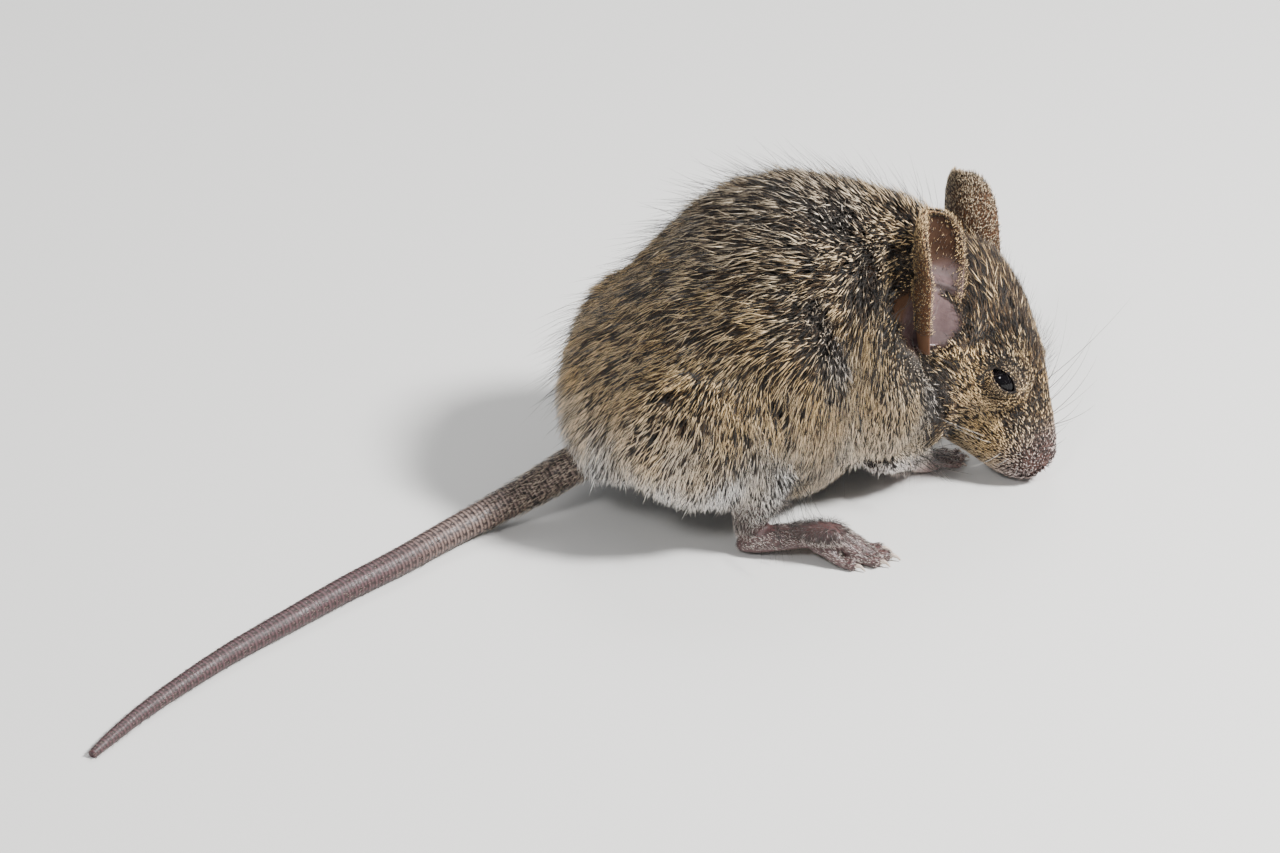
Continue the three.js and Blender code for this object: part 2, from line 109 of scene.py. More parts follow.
# ---------- Skin: one closed hide over trunk, head, limbs, ears, feet and tail ----------
# The hide is soft skin over the body's masses. It lies under the coat by the coat's own depth
# and is bare only on the ears, the soles and toes, the nose and the ringed tail.
EYE = np.array([9.5, 4.7, 2.9])  # in the head's frame, the left one
HEAD_TURNS = (-36.2, 50.2, -10.4)  # yaw, pitch and roll in degrees


def turn_matrix(yaw, pitch, roll):
    """Rz(yaw) Ry(pitch) Rx(roll), in degrees."""
    (cz, cy, cx), (sz, sy, sx) = (f(np.radians([yaw, pitch, roll])) for f in (np.cos, np.sin))
    about_z = np.array([[cz, -sz, 0], [sz, cz, 0], [0, 0, 1]])
    about_y = np.array([[cy, 0, sy], [0, 1, 0], [-sy, 0, cy]])
    about_x = np.array([[1, 0, 0], [0, cx, -sx], [0, sx, cx]])
    return about_z @ about_y @ about_x


# Each ear's root in the head's frame, the way it stands, the way it faces, its breadth laid
# flat, and the half angle of its curl at the root, middle and tip.
EARS = {1: ([1.1, 7.1, 2.0], [0.0, 0.25, 0.97], [0.88, 0.47, -0.05], 9.6, [112, 52, 52]),
        -1: ([-0.7, -8.25, 1.45], [0.0, 0.1, 0.99], [0.66, -0.75, 0.1], 11.0, [88, 94, 66])}
HEAD_AXES = turn_matrix(*HEAD_TURNS)
eye_low, eye_high = (np.array(corner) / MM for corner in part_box("eye_left"))
HEAD_AT = (eye_low + eye_high) / 2 - HEAD_AXES @ EYE
SHIFT = HEAD_AT - np.array([42.1, 2.1, 18.9])  # from the trunk's own origin to the frame's


def from_head(points):
    """Points of the head's frame in the animal's frame: axes times point, plus the head's place."""
    return np.asarray(points) @ HEAD_AXES.T + HEAD_AT


def to_head(points):
    """Points of the animal's frame in the head's frame."""
    return (points - HEAD_AT) @ HEAD_AXES


# Stations: x, middle y and z, half width, height above and depth below, pear and keel.
TRUNK = np.array([
    [-1.4, 0.0, 12.8, 0.0, 0.0, 0.0, 0.10, 0.00],
    [0.6, 0.0, 13.0, 7.4, 7.9, 6.4, 0.12, 0.00],
    [5.6, 0.0, 14.8, 11.4, 12.5, 10.0, 0.16, 0.05],
    [11.4, 0.0, 16.6, 14.0, 16.4, 13.9, 0.16, 0.10],
    [18.0, 0.0, 18.6, 14.8, 19.1, 17.4, 0.12, 0.20],
    [25.0, 0.0, 19.6, 13.6, 19.1, 20.0, 0.08, 0.24],
    [31.0, 0.9, 19.8, 10.8, 17.2, 19.0, 0.04, 0.24],
    [36.0, 2.2, 20.0, 8.1, 14.7, 17.4, 0.02, 0.10],
    [40.5, 3.0, 20.0, 6.6, 11.9, 15.4, 0.00, 0.00],
    [44.5, 3.3, 19.6, 4.8, 7.8, 11.0, 0.00, 0.00],
    [46.3, 3.4, 19.4, 0.0, 0.0, 0.0, 0.00, 0.00],
])
HEAD = np.array([
    [-7.4, 0.0, 1.0, 0.0, 0.0, 0.0, 0.00, 0.00],
    [-5.8, 0.0, 1.0, 5.0, 5.6, 5.6, 0.00, 0.00],
    [-1.5, 0.0, 0.6, 7.3, 8.6, 10.0, 0.04, 0.10],
    [3.0, 0.0, 0.3, 7.6, 9.0, 11.0, 0.08, 0.20],
    [7.5, 0.0, 0.0, 6.8, 8.2, 10.4, 0.10, 0.24],
    [11.5, 0.0, -0.3, 5.6, 6.8, 8.9, 0.10, 0.20],
    [15.5, 0.0, -0.8, 4.6, 5.2, 6.6, 0.12, 0.10],
    [18.8, 0.0, -1.2, 3.9, 3.8, 4.8, 0.10, 0.00],
    [21.2, 0.0, -1.4, 2.5, 2.3, 2.9, 0.00, 0.00],
    [22.3, 0.0, -1.5, 0.0, 0.0, 0.0, 0.00, 0.00],
])
ACROSS = np.array([0, 0, 0, 1, 1, 1, 0, 0], bool)  # columns that change sign past a round end


def filled_in(stations, steps, across=ACROSS):
    """Catmull-Rom between rows a, b, c, d: b + t/2 (c - a + t (2a - 5b + 4c - d + t (3b - a -
    3c + d))). An end of no width is a round pole, past which the widths go on mirrored."""
    def past(end, inside):
        pole = across.any() and end[across][0] == 0
        return np.where(across, -inside, inside) if pole else 2 * end - inside
    rows = np.vstack([past(stations[0], stations[1]), stations,
                      past(stations[-1], stations[-2])])
    a, b, c, d = rows[:-3], rows[1:-2], rows[2:-1], rows[3:]
    t = (np.arange(steps) / steps)[:, None, None]
    curve = b + t / 2 * (c - a + t * (2 * a - 5 * b + 4 * c - d + t * (3 * b - a - 3 * c + d)))
    return np.vstack([curve.transpose(1, 0, 2).reshape(-1, stations.shape[1]), stations[-1]])


def rings_along_x(stations, sides, steps):
    """Rings of an egg: y + cos(turn) wide (1 - pear sin(turn)) (1 - keel low), and
    z + sin(turn) up or down, where low is the square of sin(turn) under the middle."""
    rows = filled_in(stations, steps)
    x, y, z, wide, up, down, pear, keel = rows[rows[:, 3] > 0.05].T[:, :, None]
    turn = 2 * np.pi * (np.arange(sides) + 0.5)[None] / sides
    low = np.maximum(0, -np.sin(turn)) ** 2
    side = wide * (1 - pear * np.sin(turn)) * (1 - keel * low)
    height = np.where(np.sin(turn) > 0, up, down)
    return np.stack([x + 0 * turn, y + np.cos(turn) * side, z + np.sin(turn) * height], -1)


def unit(vectors):
    """Each vector divided by its length."""
    return vectors / np.maximum(1e-9, np.linalg.norm(vectors, axis=-1, keepdims=True))


def limb_rings(points, sides, steps):
    """Round sections on a Catmull-Rom curve through rows x, y, z, radius, flat: each is
    radius flat wide across and radius / flat high."""
    rows = filled_in(np.asarray(points, float), steps, np.zeros(5, bool))
    middle, radius, flat = rows[:, :3], rows[:, 3:4], rows[:, 4:5]
    along = unit(np.gradient(middle, axis=0))
    across = np.cross([0, 0, 1.0], along)
    across[np.linalg.norm(across, axis=1) < 0.2] = [0, 1, 0]  # where the limb is upright
    across = unit(across)
    upward = np.cross(along, across)
    turn = 2 * np.pi * (np.arange(sides) + 0.5) / sides
    return (middle[:, None] + np.cos(turn)[None, :, None] * (across * radius * flat)[:, None]
            + np.sin(turn)[None, :, None] * (upward * radius / flat)[:, None])


def closed(rings):
    """Corners and faces of the surface through the rings, each end closed on a middle point."""
    rows, sides = rings.shape[:2]
    corners = np.vstack([rings.reshape(-1, 3), rings[0].mean(0), rings[-1].mean(0)])
    r, k = np.meshgrid(np.arange(rows - 1), np.arange(sides), indexing="ij")
    a, b = r * sides + k, r * sides + (k + 1) % sides
    quads = np.stack([a, b, b + sides, a + sides], -1).reshape(-1, 4)
    k = np.arange(sides)
    start, end = np.full(sides, rows * sides), np.full(sides, rows * sides + 1)
    top = (rows - 1) * sides
    caps = np.vstack([np.stack([(k + 1) % sides, k, start], -1),
                      np.stack([top + k, top + (k + 1) % sides, end], -1)])
    return corners, [quads, caps]


def volume(corners, faces):
    """The volume inside: a sixth of the sum of a . (b x c) over the faces' triangles."""
    total = 0.0
    for f in faces:
        for i in range(1, f.shape[1] - 1):
            a, b, c = corners[f[:, 0]], corners[f[:, i]], corners[f[:, i + 1]]
            total += (a * np.cross(b, c)).sum() / 6
    return total


def outward(corners, faces):
    """The same surface with its faces turned so that they point out."""
    return corners, (faces if volume(corners, faces) > 0 else [f[:, ::-1] for f in faces])


def joined(surfaces):
    """Several surfaces' corners and faces as one."""
    corners, faces, start = [], [], 0
    for points, sets in surfaces:
        corners.append(points)
        faces += [f + start for f in sets]
        start += len(points)
    return np.vstack(corners), faces


def mesh_of(name, corners, faces):
    """A new object from corners in millimetres and arrays of equal-sided faces."""
    mesh = bpy.data.meshes.new(name)
    mesh.vertices.add(len(corners))
    mesh.vertices.foreach_set("co", (corners * MM).astype(np.float32).ravel())
    sizes = np.concatenate([np.full(len(f), f.shape[1]) for f in faces])
    links = np.concatenate([f.ravel() for f in faces])
    mesh.loops.add(len(links))
    mesh.loops.foreach_set("vertex_index", links.astype(np.int32))
    mesh.polygons.add(len(sizes))
    starts = np.concatenate([[0], np.cumsum(sizes)[:-1]]).astype(np.int32)
    mesh.polygons.foreach_set("loop_start", starts)
    mesh.update(calc_edges=True)
    thing = bpy.data.objects.new(name, mesh)
    bpy.context.scene.collection.objects.link(thing)
    return thing


def corners_of(mesh):
    """A mesh's corners in millimetres."""
    flat = np.empty(len(mesh.vertices) * 3, np.float32)
    mesh.vertices.foreach_get("co", flat)
    return flat.reshape(-1, 3).astype(float) / MM


def normals_of(mesh):
    """A mesh's smooth corner normals."""
    flat = np.empty(len(mesh.vertices) * 3, np.float32)
    mesh.vertices.foreach_get("normal", flat)
    return flat.reshape(-1, 3).astype(float)


def set_corners(mesh, corners):
    """Moves a mesh's corners to places in millimetres."""
    mesh.vertices.foreach_set("co", (corners * MM).astype(np.float32).ravel())
    mesh.update()


def one_hide(name, surfaces, grain):
    """The outer surface of overlapping closed surfaces, rebuilt as one even grid of grain mm."""
    thing = mesh_of(name, *joined(surfaces))
    remesh = thing.modifiers.new("one_hide", "REMESH")
    remesh.mode, remesh.voxel_size, remesh.adaptivity = "VOXEL", grain * MM, 0
    made = bpy.data.meshes.new_from_object(
        thing.evaluated_get(bpy.context.evaluated_depsgraph_get()))
    thing.modifiers.clear()
    thing.data = made
    return thing


def relaxed(mesh, times, amount=0.5, share=None):
    """Moves each corner towards the mean of its neighbours, times over, by amount and share."""
    points = corners_of(mesh)
    ends = np.empty(len(mesh.edges) * 2, np.int32)
    mesh.edges.foreach_get("vertices", ends)
    a, b = ends.reshape(-1, 2).T
    count = len(points)
    valence = np.maximum(1, np.bincount(np.concatenate([a, b]), minlength=count))[:, None]
    pull = amount if share is None else amount * share[:, None]
    for _ in range(times):
        total = np.stack([
            np.bincount(a, points[b, i], count) + np.bincount(b, points[a, i], count)
            for i in range(3)], -1)
        points = points + pull * (total / valence - points)
    set_corners(mesh, points)


def smoothstep(low, high, value):
    """0 below low, 1 above high, and 3t2 - 2t3 between; high may be the smaller one."""
    t = np.clip((value - low) / (high - low), 0, 1)
    return t * t * (3 - 2 * t)


def egg(at, half, pitch, yaw, sides=40, rows=24):
    """A ball scaled by half, turned by Rz(yaw) Ry(pitch) and put at its place."""
    tilt = np.pi * (np.arange(rows) + 0.5)[:, None] / rows
    turn = 2 * np.pi * np.arange(sides)[None] / sides
    ball = np.stack([np.cos(tilt) + 0 * turn, np.sin(tilt) * np.cos(turn),
                     np.sin(tilt) * np.sin(turn)], -1)
    return (ball * half) @ turn_matrix(yaw, pitch, 0).T + at


# Half sizes of the round masses, their turns in degrees, and the joints of the limbs.
THROAT_AT, THROAT_HALF = np.array([38.2, -2.4, 10.6]), np.array([5.6, 5.2, 6.4])
THROAT_PITCH, THROAT_YAW = 15, -25
HAUNCH_HALF, HAUNCH_PITCH, HAUNCH_YAW = np.array([11.0, 7.4, 9.8]), 8, -6
ARM_HALF, ARM_PITCH = np.array([5.8, 3.9, 7.4]), 10
HEEL = {1: np.array([14.5, 12.6, 0.0]), -1: np.array([15.3, -12.2, 0.0])}
HAUNCH_AT = {side: np.array([13.0, side * 9.2, 15.0]) for side in (1, -1)}
ARM_AT = {side: np.array([32.6, 0.6 + side * 7.4, 14.2]) for side in (1, -1)}
ELBOW = {1: np.array([32.0, 7.4, 6.8]), -1: np.array([33.2, -5.4, 7.2])}
WRIST = {1: np.array([36.8, 7.0, 2.6]), -1: np.array([38.6, -1.6, 2.6])}
PAW_AT = {1: np.array([38.4, 6.8, 0.0]), -1: np.array([40.0, -0.9, 0.0])}
PAW_TURN = {1: -12, -1: 20}
FOOT_TURN = {1: 18, -1: -21}
HIDE_GRAIN = 0.5  # how fine the hide's mesh is, in mm


def shank_path(side):
    """Middles, radii and flatness down the shank, from inside the haunch to the heel."""
    heel = HEEL[side]
    return np.array([
        [heel[0] + 3.4, side * 11.0, 10.5, 4.2, 1], [heel[0] + 2.2, side * 12.0, 6.6, 3.0, 1],
        [heel[0] + 1.5, heel[1] - side * 0.1, 3.6, 1.9, 1], [heel[0] + 1.1, heel[1], 1.8, 1.4, 1]])


def forearm_path(side):
    """The same down the forearm: elbow, half way, wrist and paw."""
    elbow, wrist, paw = ELBOW[side], WRIST[side], PAW_AT[side]
    return np.array([
        [*elbow, 3.2, 1], [*(elbow + wrist) / 2, 2.7, 1], [*wrist, 1.8, 1],
        [paw[0] - 0.2, paw[1], 1.5, 1.05, 1]])


trunk_rings = rings_along_x(TRUNK, 64, 8) + SHIFT
head_rings = from_head(rings_along_x(HEAD, 56, 8))
masses = [trunk_rings, head_rings,
          egg(THROAT_AT, THROAT_HALF, THROAT_PITCH, THROAT_YAW) + SHIFT]
for side in (1, -1):
    masses += [
        egg(HAUNCH_AT[side], HAUNCH_HALF, HAUNCH_PITCH, side * HAUNCH_YAW) + SHIFT,
        egg(ARM_AT[side], ARM_HALF, ARM_PITCH, 0) + SHIFT,
        limb_rings(shank_path(side), 28, 8) + SHIFT,
        limb_rings(forearm_path(side), 28, 8) + SHIFT,
    ]
body = one_hide("hide", [outward(*closed(rings)) for rings in masses], HIDE_GRAIN)
relaxed(body.data, 9)


def nearest_on_path(points, path):
    """For each point, how far along the path it is (0 to 1), how far off, and the radius there."""
    fine = filled_in(np.asarray(path, float), 8, np.zeros(5, bool))
    gap = np.linalg.norm(points[:, None] - fine[None, :, :3], axis=2)
    best = gap.argmin(1)
    return best / (len(fine) - 1), gap[np.arange(len(points)), best], fine[best, 3]


def fullness(points):
    """How far out each point is in each mass, as a share of that mass's own radius there:
    trunk, head, then each side's haunch, arm, shank and forearm. The least share owns it."""
    def in_rings(p, stations):
        rows = filled_in(stations, 8)
        x, y, z, wide, up, down, pear, keel = (
            np.interp(p[:, 0], rows[:, 0], rows[:, i]) for i in range(8))
        past = np.maximum(0, np.maximum(rows[0, 0] - p[:, 0], p[:, 0] - rows[-1, 0]))
        high = (p[:, 2] - z) / np.maximum(np.where(p[:, 2] > z, up, down), 0.5)
        lean = np.clip(high, -1, 1)
        side = np.maximum(wide * (1 - pear * lean) * (1 - keel * np.minimum(lean, 0) ** 2), 0.5)
        return np.hypot((p[:, 1] - y) / side, high) + past / 3
    def in_egg(p, at, half, pitch, yaw):
        return np.linalg.norm(((p - at) @ turn_matrix(yaw, pitch, 0)) / half, axis=1)
    def in_limb(p, path):
        _, gap, radius = nearest_on_path(p, path)
        return gap / radius
    p = points - SHIFT
    shares = [in_rings(p, TRUNK), in_rings(to_head(points), HEAD)]
    for side in (1, -1):
        shares += [in_egg(p, HAUNCH_AT[side], HAUNCH_HALF, HAUNCH_PITCH, side * HAUNCH_YAW),
                   in_egg(p, ARM_AT[side], ARM_HALF, ARM_PITCH, 0),
                   in_limb(p, shank_path(side)), in_limb(p, forearm_path(side))]
    return np.stack(shares, -1)


BLEND = 9.0  # how sharply one mass's coat gives way to the next
HAUNCHES, ARMS, SHANKS, FOREARMS = [2, 6], [3, 7], [4, 8], [5, 9]  # columns of the weights


def belonging(points):
    """Weights of the masses at each point, exp(-BLEND share) scaled to a sum of 1."""
    share = fullness(points)
    weight = np.exp(-BLEND * (share - share.min(1, keepdims=True)))
    return weight / weight.sum(1, keepdims=True)


EYE_FACING = np.array([-0.16, 0.89, 0.43])
EYE_LONG = np.array([0.98, 0.13, 0.17])  # the slit's long way, to the nose
EYE_FACING /= np.linalg.norm(EYE_FACING)
EYE_LONG -= EYE_LONG @ EYE_FACING * EYE_FACING
EYE_LONG /= np.linalg.norm(EYE_LONG)
LIDS = {side: tuple(v * [1, side, 1] for v in
                    (EYE, EYE_FACING, EYE_LONG, np.cross(EYE_FACING, EYE_LONG)))
        for side in (1, -1)}
SLIT_LONG, SLIT_HIGH = 1.62, 0.76  # half sizes of the opening


def lid_place(points, side):
    """Height over the eye's middle, place along and across the slit, and how far outside the
    slit: (along / SLIT_LONG)2 + |across / SLIT_HIGH|1.5 - 1, below 0 in the opening."""
    middle, facing, long, high = LIDS[side]
    off = to_head(points) - middle
    height, along, across = off @ facing, off @ long, off @ high
    outside = (along / SLIT_LONG) ** 2 + np.abs(across / SLIT_HIGH) ** 1.5 - 1
    return height, along, across, outside


def gap_to(points, middle):
    """How far each point is from a middle."""
    return np.linalg.norm(points - middle, axis=1)


def hump(place, width):
    """exp(-(place / width)2): 1 in the middle and 0.02 at twice the width."""
    return np.exp(-(place / width) ** 2)


def coat_depth(points):
    """How deep the coat is, in mm: deepest on the back, thin on the muzzle, legs and lids."""
    weight = belonging(points)
    head = to_head(points)
    of_head = 0.35 + 1.15 * smoothstep(21, 2, head[:, 0])
    height = points[:, 2]
    of_leg = 0.16 + 0.95 * smoothstep(3.5, 10, height)
    of_arm = 0.2 + 0.7 * smoothstep(2, 7, height)
    of_trunk = 1.5 + 0.7 * smoothstep(5, 22, height)
    depth = (weight[:, 0] * of_trunk + weight[:, 1] * of_head
             + weight[:, HAUNCHES].sum(1) * 1.6 + weight[:, ARMS].sum(1) * 1.4
             + weight[:, SHANKS].sum(1) * of_leg + weight[:, FOREARMS].sum(1) * of_arm)
    for side in (1, -1):
        depth = depth * (0.25 + 0.75 * smoothstep(2.2, 5.0, gap_to(head, LIDS[side][0])))
        depth = depth * (0.15 + 0.85 * smoothstep(3.2, 6.5, gap_to(head, EARS[side][0])))
    return depth


points = corners_of(body.data)
depth = coat_depth(points)
set_corners(body.data, points - normals_of(body.data) * depth[:, None])
relaxed(body.data, 3)

# Lids: the hide round each eye is made finer, raised over the ball and drawn away in the slit.
EYE_BALL, LID_WALL = 1.85, 0.17
FLOOR_GAP = 0.02  # the hide stays this far above the floor
NOSE = from_head([22.2, 0.0, -1.5])


def finer(mesh, middle, reach, times):
    """Halves every edge within reach of middle, times over."""
    work = bmesh.new()
    work.from_mesh(mesh)
    for _ in range(times):
        near = [e for e in work.edges
                if all((v.co / MM - Vector(middle)).length < reach for v in e.verts)]
        bmesh.ops.subdivide_edges(work, edges=near, cuts=1, use_grid_fill=True)
    work.to_mesh(mesh)
    work.free()


for side in (1, -1):
    finer(body.data, from_head(LIDS[side][0] + 0.6 * LIDS[side][1]), 2.7, 3)
finer(body.data, NOSE, 2.6, 2)
relaxed(body.data, 2, 0.5)
points = corners_of(body.data)
for side in (1, -1):
    height, along, across, outside = lid_place(points, side)
    off_axis = np.hypot(along, across)
    near = (off_axis < 4.5) & (height > -1.6)
    ball = np.sqrt(np.maximum(0, (EYE_BALL + LID_WALL) ** 2 - off_axis ** 2))
    over = np.logaddexp(4 * np.maximum(ball, hump(off_axis, 2.3)), 4 * height) / 4
    over += 0.07 * hump(outside - 0.16, 0.16)  # the lid's thick edge
    under = np.minimum(height, np.sqrt(np.maximum(0.3, 1.4 ** 2 - off_axis ** 2)))
    raised = under + (over - under) * smoothstep(-0.10, 0.06, outside)
    fade = smoothstep(4.4, 1.9, off_axis)
    lift = np.where(near, (raised - height) * fade, 0)
    points = points + lift[:, None] * (HEAD_AXES @ LIDS[side][1])
# Nostrils: two comma-shaped pits either side of a groove in the bare tip of the nose.
head_place = to_head(points)
for side in (1, -1):
    pit = np.array([21.6, side * 1.05, -0.9])
    gap = np.linalg.norm((head_place - pit) * [1.0, 1.0, 1.4], axis=1)
    points -= (0.55 * hump(gap, 0.42))[:, None] * HEAD_AXES[:, 0]
groove = hump(head_place[:, 1], 0.16) * smoothstep(20.6, 21.8, head_place[:, 0])
points -= (0.18 * groove * (head_place[:, 2] < -0.9))[:, None] * HEAD_AXES[:, 0]
set_corners(body.data, points)

# Feet: a long sole, five toes behind and four in front, padded under the tips.
SOLE = np.array([[0.0, 0, 1.5, 0.6, 1], [0.7, 0, 1.35, 1.15, 1], [2.6, 0, 1.8, 1.5, 1],
                 [6.0, 0, 2.4, 1.45, 1.15], [9.2, 0, 3.0, 1.5, 1.3], [11.4, 0, 2.9, 1.3, 1.4]])
PALM = np.array([[-1.6, 0, 1.5, 1.0, 1], [0.4, 0, 0.85, 1.1, 1.15], [2.6, 0, 0.8, 0.85, 1.6]])
# Where a toe leaves the foot (x, inward y, z), where its tip lies (x, inward y), its thickness.
HIND_TOES = np.array([
    [8.4, -1.3, 2.2, 13.4, -2.4, 0.66], [10.2, -0.95, 3.0, 16.0, -1.3, 0.74],
    [10.4, 0.0, 3.2, 17.0, 0.1, 0.76], [10.2, 0.95, 3.2, 16.0, 1.5, 0.74],
    [8.6, 1.4, 2.2, 12.6, 2.7, 0.64]])
FORE_TOES = np.array([
    [1.6, -0.9, 0.9, 3.9, -1.8, 0.5], [2.1, -0.4, 1.0, 5.2, -0.7, 0.52],
    [2.1, 0.4, 1.0, 5.2, 0.6, 0.52], [1.7, 0.9, 0.9, 4.2, 1.7, 0.5]])
# Along a toe: share of its length, share of the drop to the floor, thickness: two knuckles, pad.
TOE_SHAPE = np.array([[0.0, 0.0, 1.0], [0.28, 0.30, 0.92], [0.46, 0.62, 1.0], [0.64, 0.90, 0.84],
                      [0.78, 1.0, 0.84], [0.90, 1.0, 0.98], [0.98, 1.02, 0.45]])


def toe_path(toe, side):
    """Middles and radii along a toe, from the foot down to where its pad rests on the floor."""
    x0, y0, z0, x1, y1, thick = toe
    along, drop, size = TOE_SHAPE.T
    lift = thick * 0.86
    return np.stack([x0 + along * (x1 - x0), -side * (y0 + along * (y1 - y0)),
                     z0 + drop * (lift - z0), size * thick, 1 + 0 * along], -1)


def placed(points, turn, at):
    """The points turned about Z and moved, with the frame's own shift."""
    moved = points.copy()
    moved[..., :3] = points[..., :3] @ turn_matrix(turn, 0, 0).T + at + SHIFT
    return moved


feet, toe_tips = [], []
for side in (1, -1):
    for name, sole, toes, turn, at, limb_above, grain in (
        ("hind", SOLE, HIND_TOES, FOOT_TURN[side], HEEL[side], shank_path(side)[1:], 0.23),
        ("fore", PALM, FORE_TOES, PAW_TURN[side], PAW_AT[side], forearm_path(side)[1:], 0.19),
    ):
        above = limb_above * [1, 1, 1, 0.9, 1]
        above[:, :3] += SHIFT
        paths = [placed(sole, turn, at), above]
        for toe in toes:
            path = placed(toe_path(toe, side), turn, at)
            paths.append(path)
            toe_tips.append((path, toe[5], name))
        solids = [outward(*closed(limb_rings(path, 20, 6))) for path in paths]
        foot = one_hide(f"{name}_foot", solids, grain)
        relaxed(foot.data, 4)
        points = corners_of(foot.data)
        points[:, 2] = np.maximum(points[:, 2], FLOOR_GAP)
        set_corners(foot.data, points)
        feet.append(foot)

# Ears: cupped leaves of thin skin, rolled to a tube at the root, with a fold across the cup.
EAR_LENGTH, EAR_WIDEST, EAR_WALL = 15.6, 0.52, 0.42


def leaf_level(v):
    """v (1.5 - v / 2): the rows' height on the leaf, from 0 to 1, closest at the tip."""
    return v * (1.5 - 0.5 * v)


def ear_leaf(u, v, side):
    """Arc of half angle h and radius r at a level: depth r(1 - cos turn) - 1 - sin(pi level)/2,
    width r sin turn, height (level - 0.16) EAR_LENGTH, turn from -h to h."""
    level = leaf_level(v)
    past = np.maximum(0, level - EAR_WIDEST) / (1.01 - EAR_WIDEST)
    share = np.where(
        level < EAR_WIDEST, 0.62 + 0.38 * np.sin(np.pi / 2 * level / EAR_WIDEST),
        np.maximum(0.02, 1 - past ** 2.6) ** 0.45)
    root, stands, faces, wide, curl = (np.array(v, float) for v in EARS[side])
    half = np.radians(np.interp(1.8 * level, [0, 1, 1.8], curl))
    radius = share * wide / (2 * half)
    turn = (2 * u - 1) * half
    leaf = np.stack([radius * (1 - np.cos(turn)) - 1 - 0.5 * np.sin(np.pi * level),
                     radius * np.sin(turn), (level - 0.16) * EAR_LENGTH], -1)
    stands /= np.linalg.norm(stands)
    across = np.cross(stands, faces)
    across /= np.linalg.norm(across)
    return leaf @ np.stack([np.cross(across, stands), across, stands]) + from_head(root)


def ear_normals(u, v, side):
    """The cross product of small steps along u and v: it points into the cup."""
    step = 1e-3
    along_u = ear_leaf(u + step, v, side) - ear_leaf(u - step, v, side)
    along_v = ear_leaf(u, np.minimum(v + step, 1), side) - ear_leaf(u, v - step, side)
    return unit(np.cross(along_u, along_v))


ear_grids = {}
for side in (1, -1):
    u, v = np.meshgrid(np.linspace(0, 1, 49), np.linspace(0, 1, 61))
    normal = ear_normals(u, v, side)
    wall = EAR_WALL * (1.25 - 0.6 * v) * np.sqrt(np.maximum(0.12, 1 - np.abs(2 * u - 1) ** 7))
    level = leaf_level(v)
    hind = u if side > 0 else 1 - u  # 0 at the front edge, 1 at the hind edge
    fold_level = 0.50 + 0.24 * (hind - 0.5)
    fold = 0.60 * hump(level - fold_level, 0.032) + 0.30 * hump(level - fold_level - 0.09, 0.08)
    swell = 0.95 * np.exp(-((level - 0.27) / 0.085) ** 2 - ((hind - 0.46) / 0.20) ** 2)
    ripple = 0.07 * np.sin(9 * u + 17 * level) * smoothstep(0.5, 0.75, level)
    relief = (fold + swell + ripple) * np.sin(np.pi * u) ** 0.5
    middle = ear_leaf(u, v, side)
    inner = middle + normal * (wall / 2 + relief)[..., None]
    outer = middle - normal * (wall / 2 - 0.6 * relief)[..., None]
    ear_grids[side] = (inner, outer, u, v)
ears = [mesh_of("ear", *outward(*closed(np.concatenate([inner, outer[:, ::-1]], 1))))
        for inner, outer, _, _ in ear_grids.values()]

# Tail: about 150 rings of small scales, each ring overlapping the next like roof tiles.
TAIL = np.array([
    [5, 0, 9.5, 1.95, 1], [0.3, -0.2, 6.6, 1.95, 1], [-6.3, -0.4, 3.3, 1.75, 1],
    [-13.6, -2.8, 1.75, 1.62, 1], [-21.3, -7.4, 1.42, 1.52, 1], [-28.0, -11.2, 1.3, 1.42, 1],
    [-35.0, -15.6, 1.18, 1.3, 1], [-42.4, -20.3, 1.02, 1.15, 1], [-48.5, -24.8, 0.88, 1.0, 1],
    [-53.3, -28.7, 0.72, 0.85, 1], [-57.0, -32.2, 0.58, 0.7, 1], [-59.4, -34.6, 0.42, 0.5, 1]])
TAIL_RING, TAIL_SCALES, TAIL_SIDES = 0.48, 11, 33
tail_path = filled_in(TAIL, 64, np.zeros(5, bool))
tail_run = np.concatenate([[0], np.cumsum(np.linalg.norm(np.diff(tail_path[:, :3], axis=0),
                                                         axis=1))])
tail_steps = np.arange(0, tail_run[-1], TAIL_RING / 3)
tail_path = np.stack([np.interp(tail_steps, tail_run, column) for column in tail_path.T], -1)
tail_path[:, :3] += SHIFT
tail_rings = limb_rings(tail_path, TAIL_SIDES, 1)[: len(tail_steps)]
ring_share = (tail_steps / TAIL_RING) % 1
ring_number = np.floor(tail_steps / TAIL_RING)
turn = 2 * np.pi * np.arange(TAIL_SIDES)[None] / TAIL_SIDES
seam = np.abs(np.sin(TAIL_SCALES * turn / 2 + np.pi / 2 * (ring_number % 2)[:, None]))
scale_height = 0.6 * ring_share[:, None] + 0.4 * np.minimum(1, 2 * seam)
relief = 0.92 + 0.12 * scale_height
tail_middle = tail_path[:, None, :3]
tail_rings = tail_middle + (tail_rings - tail_middle) * relief[..., None]
tail_rings[..., 2] = np.maximum(tail_rings[..., 2], FLOOR_GAP)
tail = mesh_of("tail", *outward(*closed(tail_rings)))

def search_tree(corners):
    """A tree that finds the corner nearest to a place, by its number."""
    tree = KDTree(len(corners))
    for i, corner in enumerate(corners):
        tree.insert(corner, i)
    tree.balance()
    return tree


